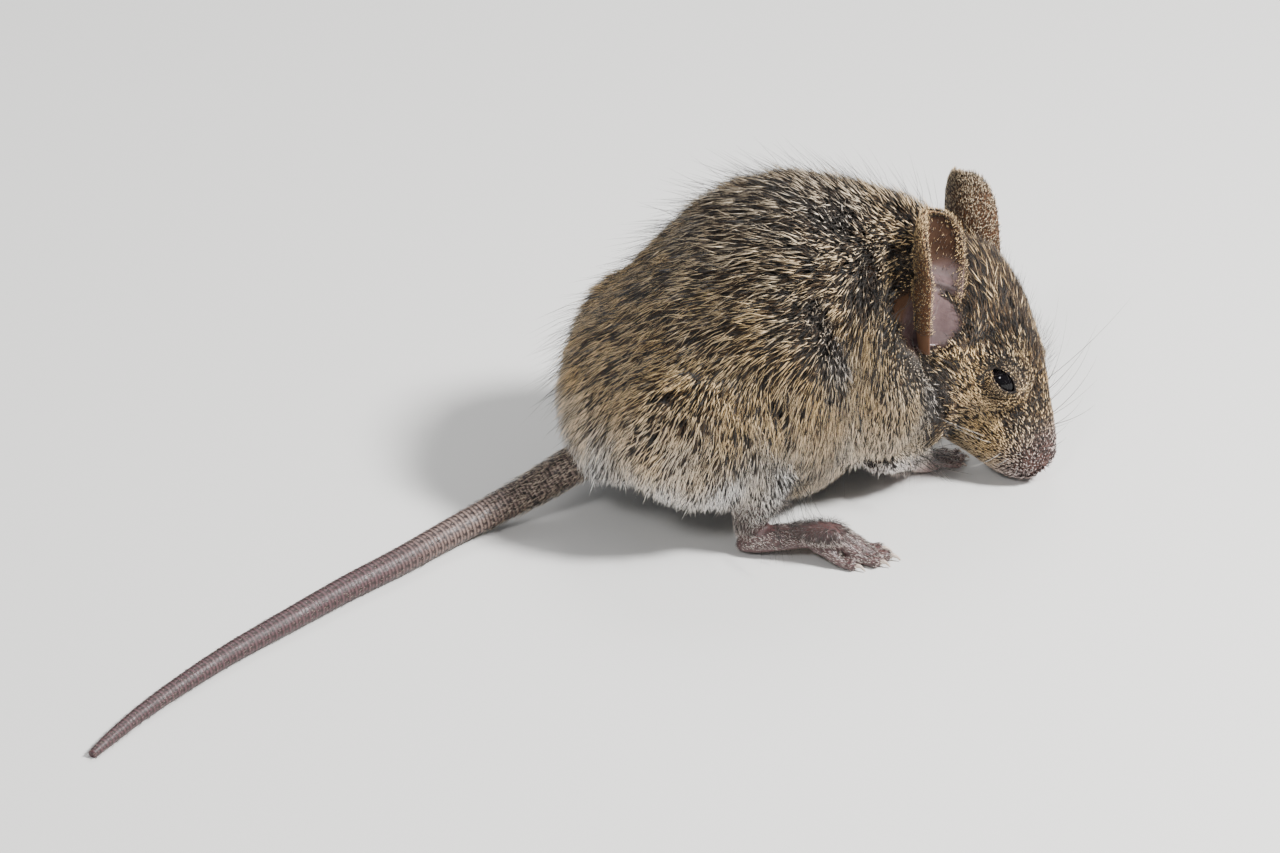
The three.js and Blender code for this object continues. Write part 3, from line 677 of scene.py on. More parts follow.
# The parts grow into one hide. Their kinds tell where each of its corners came from.
BODY, EAR, FOOT, TAIL_SKIN = range(4)
sources = [(body, BODY), *((ear, EAR) for ear in ears), *((foot, FOOT) for foot in feet),
           (tail, TAIL_SKIN)]
found = search_tree(np.concatenate([corners_of(thing.data) for thing, _ in sources]))
kinds = np.concatenate([np.full(len(thing.data.vertices), kind) for thing, kind in sources])
for thing, _ in sources[1:]:
    union = body.modifiers.new("grown_on", "BOOLEAN")
    union.operation, union.solver, union.object = "UNION", "MANIFOLD", thing
grown = bpy.data.meshes.new_from_object(
    body.evaluated_get(bpy.context.evaluated_depsgraph_get()))
body.modifiers.clear()
hide = body
hide_under_coat = body.data  # kept for rooting the coat
hide.data = grown
hide.name = "hide"


def ground_of(mesh):
    """What hairs need of a mesh to stand on it: corners, smooth normals and triangles."""
    mesh.calc_loop_triangles()
    triangles = np.empty(len(mesh.loop_triangles) * 3, np.int32)
    mesh.loop_triangles.foreach_get("vertices", triangles)
    return corners_of(mesh), normals_of(mesh), triangles.reshape(-1, 3)


body_ground = ground_of(hide_under_coat)
feet_grounds = [ground_of(foot.data) for foot in feet]
for thing, _ in sources[1:]:
    bpy.data.objects.remove(thing)

# Bare spots by the ears: middle, radius and how bare.
BARE_SPOTS = (((39.0, 2.4, 24.0), 1.6, 1.0), ((36.9, 2.6, 29.6), 2.3, 0.75))
FORE_FROM = 37.5  # feet further forward than this x are forepaws

# Where each part of the hide is kept as a share from 0 to 1, for its colours.
points = corners_of(hide.data)
grown_from = np.array([found.find(p)[1] for p in points])
kind = kinds[grown_from]
head_place = to_head(points)
on_ear, on_foot, on_tail = (np.where(kind == k, 1.0, 0.0) for k in (EAR, FOOT, TAIL_SKIN))
ear_level, ear_inside = np.zeros(len(points)), np.zeros(len(points))
for side, (inner, outer, u, v) in ear_grids.items():
    tree = search_tree(np.concatenate([inner.reshape(-1, 3), outer.reshape(-1, 3)]))
    mine = np.flatnonzero((kind == EAR) & ((head_place[:, 1] > 0) == (side > 0)))
    nearest = np.array([tree.find(points[i])[1] for i in mine], int)
    ear_level[mine] = v.ravel()[nearest % v.size]
    ear_inside[mine] = nearest < v.size
# The second share tells the tail's buff base from its end, the first its scales' edges, where
# painted shade goes into the grooves; on the feet the first tells the pale forepaws, partly
# lightened with painted light, from the dark hind feet.
on_scales = np.append(scale_height.ravel(), [0.5, 0.5])
own_corner = grown_from[kind == TAIL_SKIN] - len(kinds) + len(on_scales)
ear_level[kind == TAIL_SKIN] = on_scales[own_corner]
ear_inside[kind == TAIL_SKIN] = smoothstep(
    36, 16, tail_steps[np.minimum(own_corner // TAIL_SIDES, len(tail_steps) - 1)])
ear_level[(kind == FOOT) & (points[:, 0] > FORE_FROM)] = 1
for middle, radius, share in BARE_SPOTS:
    spot = share * smoothstep(1.5 * radius, radius, gap_to(points, middle))
    on_ear = np.maximum(on_ear, spot * (kind == BODY))
muzzle = smoothstep(15.5, 20.5, head_place[:, 0]) * (kind == BODY)
nose_pad = smoothstep(0.9, 0.5, np.linalg.norm(
    (head_place - [22.0, 0, -1.2]) / [1.3, 1.9, 1.5], axis=1))
lids = np.zeros(len(points))
for side in (1, -1):
    floor_of_ear = smoothstep(4.2, 3.2, gap_to(head_place, EARS[side][0])) * (kind == BODY)
    on_ear, ear_inside = np.maximum(on_ear, floor_of_ear), np.maximum(ear_inside, floor_of_ear)
    height, along, across, outside = lid_place(points, side)
    lids = np.maximum(lids, smoothstep(0.42, 0.12, outside) * (np.hypot(along, across) < 2.2)
                      * (height > -0.5))


def add_shares(mesh, name, *shares):
    """A colour attribute on the corners whose four channels are plain shares from 0 to 1."""
    layer = mesh.attributes.new(name, "FLOAT_COLOR", "POINT")
    values = np.zeros((len(mesh.vertices), 4), np.float32)
    for i, share in enumerate(shares):
        values[:, i] = share
    layer.data.foreach_set("color", values.ravel())


relaxed(hide.data, 1, 0.35)
add_shares(hide.data, "parts", on_ear, on_foot, on_tail, muzzle)
add_shares(hide.data, "places", ear_level, ear_inside, nose_pad, lids)


class Paint:
    """A short way to lay nodes in a material: each call adds one node and links its inputs."""

    def __init__(self, name):
        self.material = bpy.data.materials.new(name)
        self.material.use_nodes = True
        self.tree = self.material.node_tree
        self.shader = self.tree.nodes["Principled BSDF"]
        self.place = self.node("ShaderNodeTexCoord").outputs["Object"]

    def node(self, kind, inputs=(), **settings):
        """A new node with its inputs fed and its own settings made."""
        made = self.tree.nodes.new(kind)
        for key, value in settings.items():
            setattr(made, key, value)
        for key, value in dict(inputs).items():
            self.feed(made.inputs[key], value)
        return made

    def feed(self, socket, value):
        """Links a node's output to the socket, or sets the socket to a plain value."""
        if isinstance(value, bpy.types.NodeSocket):
            self.tree.links.new(value, socket)
        elif socket.type == "RGBA" and len(value) == 3:
            socket.default_value = (*value, 1)
        else:
            socket.default_value = value

    def shares(self, name):
        """The channels of one of the mesh's attributes, with the fourth last."""
        layer = self.node("ShaderNodeAttribute", attribute_name=name)
        split = self.node("ShaderNodeSeparateColor", {"Color": layer.outputs["Color"]})
        return [*(split.outputs[c] for c in ("Red", "Green", "Blue")), layer.outputs["Alpha"]]

    def math(self, operation, a, b):
        """One sum of two values, each a node's output or a plain number."""
        return self.node("ShaderNodeMath", {0: a, 1: b}, operation=operation).outputs[0]

    def span(self, value, low, high, out_low=0.0, out_high=1.0):
        """value from low to high made a smooth step from out_low to out_high."""
        made = self.node("ShaderNodeMapRange", {
            "Value": value, "From Min": low, "From Max": high,
            "To Min": out_low, "To Max": out_high}, interpolation_type="SMOOTHSTEP")
        return made.outputs["Result"]

    def mix(self, share, a, b):
        """Colour a where share is 0, colour b where it is 1."""
        made = self.node("ShaderNodeMix", {0: share}, data_type="RGBA")
        self.feed(made.inputs[6], a)
        self.feed(made.inputs[7], b)
        return made.outputs[2]

    def noise(self, scale, detail):
        """Smooth random specks, scale of them to a metre."""
        made = self.node("ShaderNodeTexNoise", {
            "Vector": self.place, "Scale": scale, "Detail": detail, "Roughness": 0.55})
        return made.outputs["Fac"]

    def bumps(self, height, depth, strength):
        """Fine relief in the surface, depth metres deep, from a height of 0 to 1."""
        return self.node("ShaderNodeBump", {
            "Height": height, "Distance": depth, "Strength": strength}).outputs["Normal"]

    def finish(self, **inputs):
        """The material, with its shader's inputs set or linked by name."""
        for key, value in inputs.items():
            self.feed(self.shader.inputs[key.replace("_", " ")], value)
        return self.material


skin = Paint("bare_skin")
ear, foot, tail_share, muzzle_share = skin.shares("parts")
level, inside, pad, lid = skin.shares("places")
mottle = skin.noise(900, 4)
pores = skin.noise(5200, 2)
blotch = skin.noise(260, 2)
undercoat = skin.mix(mottle, (0.018, 0.015, 0.013), (0.060, 0.048, 0.036))
undercoat = skin.mix(muzzle_share, undercoat, (0.22, 0.12, 0.10))
ear_out = skin.mix(blotch, (0.070, 0.034, 0.020), (0.160, 0.086, 0.050))
ear_low = skin.mix(mottle, (0.070, 0.044, 0.044), (0.185, 0.125, 0.122))
ear_high = skin.mix(mottle, (0.022, 0.010, 0.006), (0.060, 0.031, 0.018))
ear_in = skin.mix(skin.span(level, 0.36, 0.52), ear_low, ear_high)
colour = skin.mix(ear, undercoat, skin.mix(inside, ear_out, ear_in))
toe_skin = skin.mix(mottle, (0.040, 0.018, 0.019), (0.115, 0.062, 0.058))
# Forepaw skin: light pink, partly its own colour and partly painted light where the head's shadow
# falls on the right paw.
paw_skin_and_painted_light = skin.mix(mottle, (0.20, 0.13, 0.12), (0.42, 0.31, 0.29))
colour = skin.mix(foot, colour, skin.mix(level, toe_skin, paw_skin_and_painted_light))
tail_skin = skin.mix(blotch, (0.052, 0.020, 0.025), (0.105, 0.050, 0.053))
buff_base = skin.mix(blotch, (0.17, 0.115, 0.095), (0.24, 0.17, 0.14))
tail_skin = skin.mix(inside, tail_skin, buff_base)
# Painted shade: near black in the grooves, where each ring of scales starts under the edge of the
# ring before and where scales meet within a ring.
tail_skin = skin.mix(skin.span(level, 0.35, 0.80), (0.018, 0.009, 0.008), tail_skin)
colour = skin.mix(tail_share, colour, tail_skin)
colour = skin.mix(pad, colour, (0.42, 0.20, 0.18))
colour = skin.mix(lid, colour, (0.020, 0.014, 0.012))
# Roughest under the coat, smoother on the feet and tail, and glossy low in the ears' cups.
concha = skin.math("MULTIPLY", skin.math("MULTIPLY", inside, ear),
                   skin.span(level, 0.42, 0.56, 1.0, 0.0))
dull = 0.95
for smooth, where in ((0.45, foot), (0.38, tail_share), (0.25, ear), (0.42, concha)):
    dull = skin.math("SUBTRACT", dull, skin.math("MULTIPLY", smooth, where))
hide.data.materials.clear()
hide.data.materials.append(skin.finish(
    Base_Color=colour, Normal=skin.bumps(pores, 6e-5, 0.6),
    Roughness=skin.math("MULTIPLY", skin.span(mottle, 0.3, 0.7, 0.72, 1.0), dull),
    Subsurface_Weight=0.04, Subsurface_Radius=(0.001, 0.0004, 0.0002),
    Specular_IOR_Level=skin.math("SUBTRACT", 0.45, skin.math("MULTIPLY", 0.37, ear)),
    Coat_Weight=skin.math("MULTIPLY", concha, 0.8), Coat_Roughness=0.14))
hide.data.shade_smooth()
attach(hide, "root")
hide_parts(*(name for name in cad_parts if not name.startswith("eye_")))

# ---------- Eyes ----------
# Each eye is a wet, glossy black ball deep in its socket, with only a long slit of it showing
# between the lids.
def flecked(name, scale, detail, dark, light, smooth, rough, gloss):
    """A material whose colour goes from dark to light and its roughness from smooth to rough
    with one fine noise."""
    paint = Paint(name)
    fleck = paint.noise(scale, detail)
    return paint.finish(
        Base_Color=paint.mix(fleck, dark, light),
        Roughness=paint.span(fleck, 0.3, 0.7, smooth, rough), Specular_IOR_Level=gloss)


eye_paint = flecked("eye_gloss", 700, 2, (0.0010, 0.0010, 0.0014), (0.004, 0.003, 0.004),
                    0.01, 0.03, 0.24)
for side, name in ((1, "left"), (-1, "right")):
    ball = egg(np.zeros(3), EYE_BALL * np.ones(3), 0, 0, 48, 32)
    eye = mesh_of(f"eyeball_{name}", *outward(*closed(ball + from_head(LIDS[side][0]))))
    eye.data.shade_smooth()
    eye.data.materials.append(eye_paint)
    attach(eye, "root")
    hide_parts(f"eye_{name}")

# ---------- Coat: fur over the whole hide ----------
# Agouti fur of a few millimetres: slate-dark at the root, banded buff or brown near the end and
# dark at the tip. It grows from the hide and lies from the nose back, down on flanks and legs.
draw = np.random.default_rng(1758)
# Hairs per square millimetre: on the trunk, the legs, the crown, and how many more on the snout.
TRUNK_HAIRS, LEG_HAIRS, CROWN_HAIRS, SNOUT_MORE = 38, 54, 44, 38
MOST_HAIRS = 205000
CLUMP_SIZE = 0.9  # how far apart the clumps of tips are
# How deep roots are sunk, how far hairs stay off the floor, and each hair's patch in its map.
ROOT_DEPTH, HAIR_OFF_FLOOR, HAIR_PATCH, MAP_EDGE = 0.15, 0.03, 0.003, 0.004


def waves(points, size, seed):
    """A smooth random value of about -1 to 1: eight sine waves of about size mm, summed."""
    own = np.random.default_rng(seed)
    ways = unit(own.normal(size=(8, 3)))
    ways *= 2 * np.pi / size * own.uniform(0.6, 1.6, (8, 1))
    return np.sin(points @ ways.T + own.uniform(0, 2 * np.pi, 8)).sum(1) / 3.2


def rooted(ground, density, most):
    """Random roots and normals on a ground, density(points, normals) of them per square mm."""
    corners, normals, triangles = ground
    a, b, c = (corners[triangles[:, i]] for i in range(3))
    area = np.linalg.norm(np.cross(b - a, c - a), axis=1) / 2
    middle = (a + b + c) / 3
    facing = unit(normals[triangles].sum(1))
    wanted = area * density(middle, facing)
    count = min(most, int(wanted.sum()))
    owner = np.searchsorted(np.cumsum(wanted), draw.uniform(0, wanted.sum(), count))
    owner = np.minimum(owner, len(triangles) - 1)
    p, q = draw.uniform(size=(2, count, 1))
    p, q = np.where(p + q > 1, 1 - p, p), np.where(p + q > 1, 1 - q, q)
    roots = a[owner] + p * (b - a)[owner] + q * (c - a)[owner]
    na, nb, nc = (normals[triangles[owner, i]] for i in range(3))
    return roots, unit(na + p * (nb - na) + q * (nc - na))


def hairs(name, roots, normals, flow, length, width, lift, bend, unwrap, strand, shade, paint,
          clump=0, belly=0.52):
    """Each hair is a closed spindle of six faces: from its root out along the flow raised by
    lift, to a ring of three corners of its width at the share belly of its length, then on,
    raised by bend, to its tip. Tips in one clump draw together by the share clump."""
    count = len(roots)
    flow = unit(flow - (flow * normals).sum(1, keepdims=True) * normals)
    side = np.cross(flow, normals)
    length, width, lift, bend = (
        np.broadcast_to(x, count)[:, None] for x in (length, width, lift, bend))
    middle = roots + length * belly * (flow * np.cos(lift) + normals * np.sin(lift))
    tip = middle + length * (1 - belly) * (flow * np.cos(bend) + normals * np.sin(bend))
    if clump:
        cell = np.floor(roots / CLUMP_SIZE + 0.35 * waves(roots, 2.2, 5)[:, None]).astype(int)
        key = (cell[:, 0] * 4096 + cell[:, 1]) * 4096 + cell[:, 2]
        _, group = np.unique(key, return_inverse=True)
        members = np.bincount(group)[:, None]
        mean = np.stack([np.bincount(group, tip[:, i]) for i in range(3)], -1) / members
        pull = clump * (mean[group] - tip)
        tip = tip + pull
        middle = middle + 0.3 * pull
    roll = draw.normal(0, 0.35, (count, 1))
    across = side * np.cos(roll) + normals * np.sin(roll)
    beneath = normals * np.cos(roll) - side * np.sin(roll)
    corners = np.stack([
        roots - normals * ROOT_DEPTH, middle + across * width / 2, middle - across * width / 2,
        middle - beneath * width * 0.45, tip], 1)
    corners[..., 2] = np.maximum(corners[..., 2], HAIR_OFF_FLOOR)
    pattern = np.array([[0, 1, 2], [0, 2, 3], [0, 3, 1], [4, 2, 1], [4, 3, 2], [4, 1, 3]])
    faces = (pattern[None] + 5 * np.arange(count)[:, None, None]).reshape(-1, 3)
    if volume(corners[0], [pattern]) < 0:
        faces = faces[:, ::-1]
    coat = mesh_of(name, corners.reshape(-1, 3), [faces])
    along = np.tile([0.0, belly, belly, belly, 1.0], count)
    add_shares(coat.data, "strand", along, *(np.repeat(x, 5) for x in strand))
    add_shares(coat.data, "shade", *(np.repeat(np.broadcast_to(x, count), 5) for x in shade))
    room = 1 - 2 * MAP_EDGE - HAIR_PATCH
    spread = np.maximum(np.ptp(unwrap, axis=0), 1e-6)
    place = MAP_EDGE + room * (unwrap - unwrap.min(0)) / spread
    patch = HAIR_PATCH * np.array([[0.5, 0], [0, belly], [1, belly], [0.5, belly], [0.5, 1]])
    corner_uv = (place[:, None] + patch[None]).reshape(-1, 2)
    layer = coat.data.uv_layers.new(name="OFBake")
    layer.data.foreach_set("uv", corner_uv[faces.ravel()].astype(np.float32).ravel())
    coat.data.materials.append(paint)
    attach(coat, "root")
    return coat


fur = Paint("agouti_fur")
along, chance, pale, gold = fur.shares("strand")
dark, pink, grey, _ = fur.shares("shade")
tone = fur.math("SUBTRACT", chance, fur.math("MULTIPLY", dark, 0.45))
brown_band = fur.mix(gold, (0.085, 0.056, 0.034), (0.155, 0.088, 0.038))
light_band = fur.mix(gold, (0.86, 0.70, 0.49), (0.96, 0.66, 0.31))
band = fur.mix(fur.span(tone, 0.50, 0.58), brown_band, light_band)
pale_band = fur.mix(fur.span(tone, 0.50, 0.60), (0.060, 0.054, 0.050), (0.97, 0.92, 0.86))
band = fur.mix(pale, band, pale_band)
pink_band = fur.mix(fur.span(tone, 0.38, 0.54), (0.11, 0.050, 0.045), (0.85, 0.68, 0.62))
band = fur.mix(pink, band, pink_band)
grey_band = fur.mix(fur.span(tone, 0.45, 0.62), (0.05, 0.05, 0.055), (0.80, 0.80, 0.82))
band = fur.mix(grey, band, grey_band)
hair_dark = (0.012, 0.009, 0.007)
colour = fur.mix(fur.span(tone, 0.17, 0.25), hair_dark, band)
slate = fur.mix(pale, (0.014, 0.011, 0.008), (0.050, 0.045, 0.041))
colour = fur.mix(fur.span(along, 0.54, 0.68), slate, colour)
colour = fur.mix(fur.span(along, 0.86, 1.0, 0.0, 0.8), colour, hair_dark)
fur_paint = fur.finish(Base_Color=colour, Roughness=fur.span(chance, 0.0, 1.0, 0.42, 0.60),
                       Specular_IOR_Level=0.40, Sheen_Weight=0.06)

# Partings and ruffled spots: two ends of each, its half width, how ruffled it is.
PARTINGS = (
    ((21.5, -6.1, 24.4), (22.8, -6.6, 21.0), 0.50, 0.0),
    ((22.8, -6.6, 21.0), (24.0, -6.8, 17.0), 0.36, 0.0),
    ((14.4, -5.6, 24.2), (11.4, -5.0, 23.4), 0.34, 0.0),
    ((11.0, -5.2, 23.0), (8.2, -4.6, 22.6), 0.40, 0.1),
    ((12.4, -6.8, 22.4), (9.6, -6.7, 21.0), 0.32, 0.0),
    ((8.9, -6.7, 20.8), (6.6, -6.2, 18.8), 0.36, 0.0),
    ((5.4, -5.0, 18.0), (3.2, -2.0, 15.0), 0.40, 0.0),
    ((31.6, 3.0, 36.0), (33.6, 4.4, 35.0), 1.6, 0.6),
    ((28.0, -3.8, 28.8), (29.4, -4.2, 25.4), 1.5, 0.7),
    ((30.0, -4.0, 24.4), (31.2, -3.6, 21.6), 1.6, 0.9),
    ((36.4, 2.4, 30.8), (35.6, 1.6, 28.4), 1.6, 0.4),
    ((41.0, 0.8, 15.0), (43.0, 0.5, 11.6), 1.3, 0.7),
    ((39.4, -0.8, 19.0), (40.8, 0.4, 16.0), 1.2, 0.7),
)


def parted(points):
    """How much of a parting and of a ruffle is at each point, from 1 within 0.4 mm of its line."""
    part, ruffle = np.zeros(len(points)), np.zeros(len(points))
    for start, end, width, ruffled in PARTINGS:
        start, end = np.array(start), np.array(end)
        way = end - start
        t = np.clip((points - start) @ way / (way @ way), 0, 1)
        gap = np.linalg.norm(points - start - t[:, None] * way, axis=1)
        near = hump(np.maximum(0, gap - 0.4), width)
        part, ruffle = np.maximum(part, near), np.maximum(ruffle, near * ruffled)
    return part, ruffle


def lie(points, weight):
    """Which way the coat lies: back along the trunk and ever more down on flanks and legs;
    on the head away from the nose."""
    down = 0.10 + 2.3 * smoothstep(31, 7, points[:, 2])
    back = np.stack([-np.ones(len(points)), np.zeros(len(points)), -down], -1)
    leg = back + [0.2, 0, -0.7]
    from_nose = unit(points - from_head([20.8, 0, -1.8])) - 0.15 * HEAD_AXES[:, 0]
    arm = {side: unit(WRIST[side] - ELBOW[side]) for side in (1, -1)}
    flow = weight[:, :1] * unit(back) + weight[:, 1:2] * from_nose
    for first, side in zip(HAUNCHES, (1, -1)):
        haunch, upper_arm, shank, forearm = weight[:, first:first + 4].T[:, :, None]
        flow += haunch * unit(leg) + upper_arm * unit(leg + [0.3, 0, -0.4])
        flow += shank * np.array([-0.1, 0, -1.0])
        flow += forearm * arm[side]
    return flow


def coat_density(points, normals):
    """Hairs per square mm: finest on the face, none in the eye's slit, on the nose pad, in the
    ears' roots and on what the feet cover."""
    weight = belonging(points)
    head = to_head(points)
    face = CROWN_HAIRS + SNOUT_MORE * smoothstep(2, 17, head[:, 0])
    legs = weight[:, SHANKS + FOREARMS].sum(1)
    density = ((1 - weight[:, 1] - legs) * TRUNK_HAIRS + weight[:, 1] * face
               + legs * LEG_HAIRS)
    from_nose = np.linalg.norm((head - [22.3, 0, -1.2]) / [1.2, 1.7, 1.5], axis=1)
    bare = smoothstep(0.75, 1.15, from_nose)
    for side in (1, -1):
        height, along, across, outside = lid_place(points, side)
        density *= 1 + 0.6 * smoothstep(5.0, 2.5, gap_to(head, LIDS[side][0]))
        slit = (np.hypot(along, across) < 2.6) & (height > -0.5)
        bare *= np.where(slit, smoothstep(0.12, 0.40, outside), 1)
        bare *= smoothstep(3.0, 3.9, gap_to(head, EARS[side][0]))
    for middle, radius, share in BARE_SPOTS:
        bare *= 1 - share * smoothstep(1.25 * radius, 0.85 * radius, gap_to(points, middle))
    under = smoothstep(0.4, 1.2, points[:, 2])
    return density * bare * under


roots, normals = rooted(body_ground, coat_density, MOST_HAIRS)
weight = belonging(roots)
owner = weight.argmax(1)
head = to_head(roots)
part, ruffle = parted(roots + normals * 1.5)
count = len(roots)
angle = (0.20 * waves(roots, 9, 11) + 0.18 * waves(roots, 2.6, 12)
         + draw.normal(0, 0.22, count) + ruffle * draw.normal(0, 1.1, count))
flow = lie(roots, weight)
for side in (1, -1):  # round the eyes the fur turns aside from the slit
    away = roots - from_head(LIDS[side][0])
    flow += 1.2 * smoothstep(3.4, 2.2, np.linalg.norm(away, axis=1))[:, None] * unit(away)
flow = unit(flow - (flow * normals).sum(1, keepdims=True) * normals)
flow = flow * np.cos(angle)[:, None] + np.cross(normals, flow) * np.sin(angle)[:, None]
height = roots[:, 2]
on_head = weight[:, 1]
eye_gap = np.minimum(*(gap_to(head, LIDS[side][0]) for side in (1, -1)))
crown = on_head * smoothstep(-0.15, 0.45, normals @ HEAD_AXES[:, 2])
crown *= 0.45 + 0.55 * smoothstep(2.2, 4.6, eye_gap) - 0.16 * smoothstep(10, 17, head[:, 0])
# The lower forearms and forepaws get pale, pinkish hair: partly their own pale colour, partly
# painted light where the head's shadow falls on the right paw.
fore = weight[:, FOREARMS].sum(1) * smoothstep(8, 4, height)
dark = np.clip(0.28 + 0.40 * smoothstep(17, 28, height) * (1 - on_head) + 0.5 * (part - ruffle)
               + 0.65 * crown + 0.07 * waves(roots, 4, 23), 0, 1) * (1 - fore)
chance = draw.uniform(size=count)
light = smoothstep(0.50, 0.58, chance - 0.45 * dark)
depth = coat_depth(roots)
lift = (0.62 - 0.12 * on_head + 0.10 * waves(roots, 3.2, 13) + draw.normal(0, 0.09, count)
        + 0.30 * part)
bend = (0.38 - 0.06 * on_head + 0.08 * waves(roots, 2.4, 14) + draw.normal(0, 0.08, count)
        + 0.35 * ruffle)
length = 2 * depth / (np.sin(lift) + np.sin(np.maximum(0.05, bend)))
length *= draw.uniform(0.80, 1.06, count) * (0.92 + 0.14 * light) * (1 - 0.65 * part * (1 - ruffle))
ear_backs = search_tree(np.concatenate([ear_grids[side][1].reshape(-1, 3) for side in (1, -1)]))
ear_gap = np.array([ear_backs.find(p)[2] for p in roots])
length *= np.where(on_head < 0.5, 0.22 + 0.78 * smoothstep(0.8, 4.5, ear_gap), 1)
length = np.maximum(length, 1.25 * on_head * smoothstep(18, 14, head[:, 0]))
length = np.minimum(length, 0.32 + 0.95 * np.maximum(0, eye_gap - 1.9))
width = np.where(owner == 1, 0.080 + 0.030 * smoothstep(17, 3, head[:, 0]), 0.115)
width = width * draw.uniform(0.85, 1.15, count) * (0.85 + 0.40 * light)
pale = np.clip(0.85 * smoothstep(22, 10, height) * (1 - on_head) + 0.22 * waves(roots, 6, 21)
               * smoothstep(26, 14, height), 0, 1)
pale *= 1 - 0.5 * smoothstep(22, 28, roots[:, 0]) * smoothstep(2, 6, height)
under_head = smoothstep(-3, -8, head[:, 2]) * on_head
pale = np.clip(pale + 0.35 * under_head + fore, 0, 1)
gold = np.clip((0.35 + 0.45 * smoothstep(36, 20, height)) * (1 - on_head)
               + on_head * 0.85 + 0.2 * waves(roots, 5, 22), 0, 1)
pink = on_head * smoothstep(16.0, 20.5, head[:, 0]) + 0.35 * fore
grey = np.clip(0.75 * ruffle + 0.18 * smoothstep(30, 37, height) * (1 - on_head)
               + 0.35 * smoothstep(16, 8, height) * (1 - on_head) * smoothstep(28, 20, roots[:, 0]),
               0, 1)

def trunk_chart(points):
    """Each point's turn about the trunk, atan2(y, z - 17) / 2 pi, and its place along, x / 50."""
    x, y, z = (points - SHIFT).T
    return np.stack([np.arctan2(y, z - 17) / (2 * np.pi), x / 50], -1)


local = roots - SHIFT
trunk_map = trunk_chart(roots)
head_map = np.stack([np.arctan2(head[:, 1], head[:, 2]) / (2 * np.pi), head[:, 0] / 30], -1)
right = local[:, 1] < np.interp(local[:, 0], TRUNK[:, 0], TRUNK[:, 1])
leg_hair = np.isin(owner, SHANKS + FOREARMS)
haunch_hair = np.isin(owner, HAUNCHES)
on_trunk = ~leg_hair & ~haunch_hair & (owner != 1)
regions = {"coat_legs": leg_hair}
for name, half in (("right", right), ("left", ~right)):
    regions[f"coat_thigh_{name}"] = haunch_hair & half
    regions[f"coat_rump_{name}"] = on_trunk & half & (local[:, 0] < 11)
    regions[f"coat_loin_{name}"] = on_trunk & half & (local[:, 0] >= 11) & (local[:, 0] < 24)
    regions[f"coat_chest_{name}"] = on_trunk & half & (local[:, 0] >= 24)
    head_half = (head[:, 1] < 0) if name == "right" else (head[:, 1] >= 0)
    regions[f"coat_cheek_{name}"] = (owner == 1) & head_half & (head[:, 0] < 9)
    regions[f"coat_muzzle_{name}"] = (owner == 1) & head_half & (head[:, 0] >= 9)
for name, mine in regions.items():
    chart, clump = (head_map, 0.06) if "cheek" in name or "muzzle" in name else (trunk_map, 0.10)
    shape = (x[mine] for x in (roots, normals, flow, length, width, lift, bend, chart))
    hairs(name, *shape, [x[mine] for x in (chance, pale, gold)],
          [x[mine] for x in (dark, pink, grey)], fur_paint, clump)

# Guard hairs: long, thin and dark, standing up out of the coat along the back, rump and crown.
GUARD_HAIRS, GUARD_LENGTH, GUARD_WIDTH = 2.4, 7.4, 0.068


def guard_density(points, normals):
    """GUARD_HAIRS per square mm on top of the back, rump and crown, and none by the ears."""
    head = to_head(points)
    back = smoothstep(0.05, 0.75, normals[:, 2]) * smoothstep(20, 30, points[:, 2])
    rump = smoothstep(-0.4, -0.8, normals[:, 0]) * smoothstep(14, 22, points[:, 2])
    crown = smoothstep(0.2, 0.8, normals @ HEAD_AXES[:, 2]) * smoothstep(17, 11, head[:, 0])
    gap = np.minimum(*(gap_to(head, EARS[side][0]) for side in (1, -1)))
    return GUARD_HAIRS * np.maximum(np.maximum(back, rump), crown) * smoothstep(2, 3, gap)


roots, normals = rooted(body_ground, guard_density, 9000)
count = len(roots)
weight = belonging(roots)
of_head = weight[:, 1]
lift = 0.62 + draw.normal(0, 0.16, count) + 0.25 * of_head
guard_length = (GUARD_LENGTH - 4.0 * of_head) * draw.uniform(0.6, 1.25, count)
flow = lie(roots, weight) + draw.normal(0, 0.16, (count, 3))
hairs("coat_guard_hairs", roots, normals, flow, guard_length,
      GUARD_WIDTH - 0.014 * of_head, lift, lift - 0.22, trunk_chart(roots),
      (draw.uniform(0.05, 0.30, count), 0 * lift, 0 * lift), (0.6, 0.0, 0.0), fur_paint,
      belly=0.5)

# Short fur of the ears: fine hairs over the back, along both rims and on the rolled hind edge.
def on_grid(grid, u, v):
    """Points of a grid at shares u across and v along, mixed from the four corners round each."""
    rows, columns = grid.shape[:2]
    x, y = u * (columns - 1), v * (rows - 1)
    i, j = np.minimum(x.astype(int), columns - 2), np.minimum(y.astype(int), rows - 2)
    a, b = (x - i)[:, None], (y - j)[:, None]
    return ((grid[j, i] * (1 - a) + grid[j, i + 1] * a) * (1 - b)
            + (grid[j + 1, i] * (1 - a) + grid[j + 1, i + 1] * a) * b)


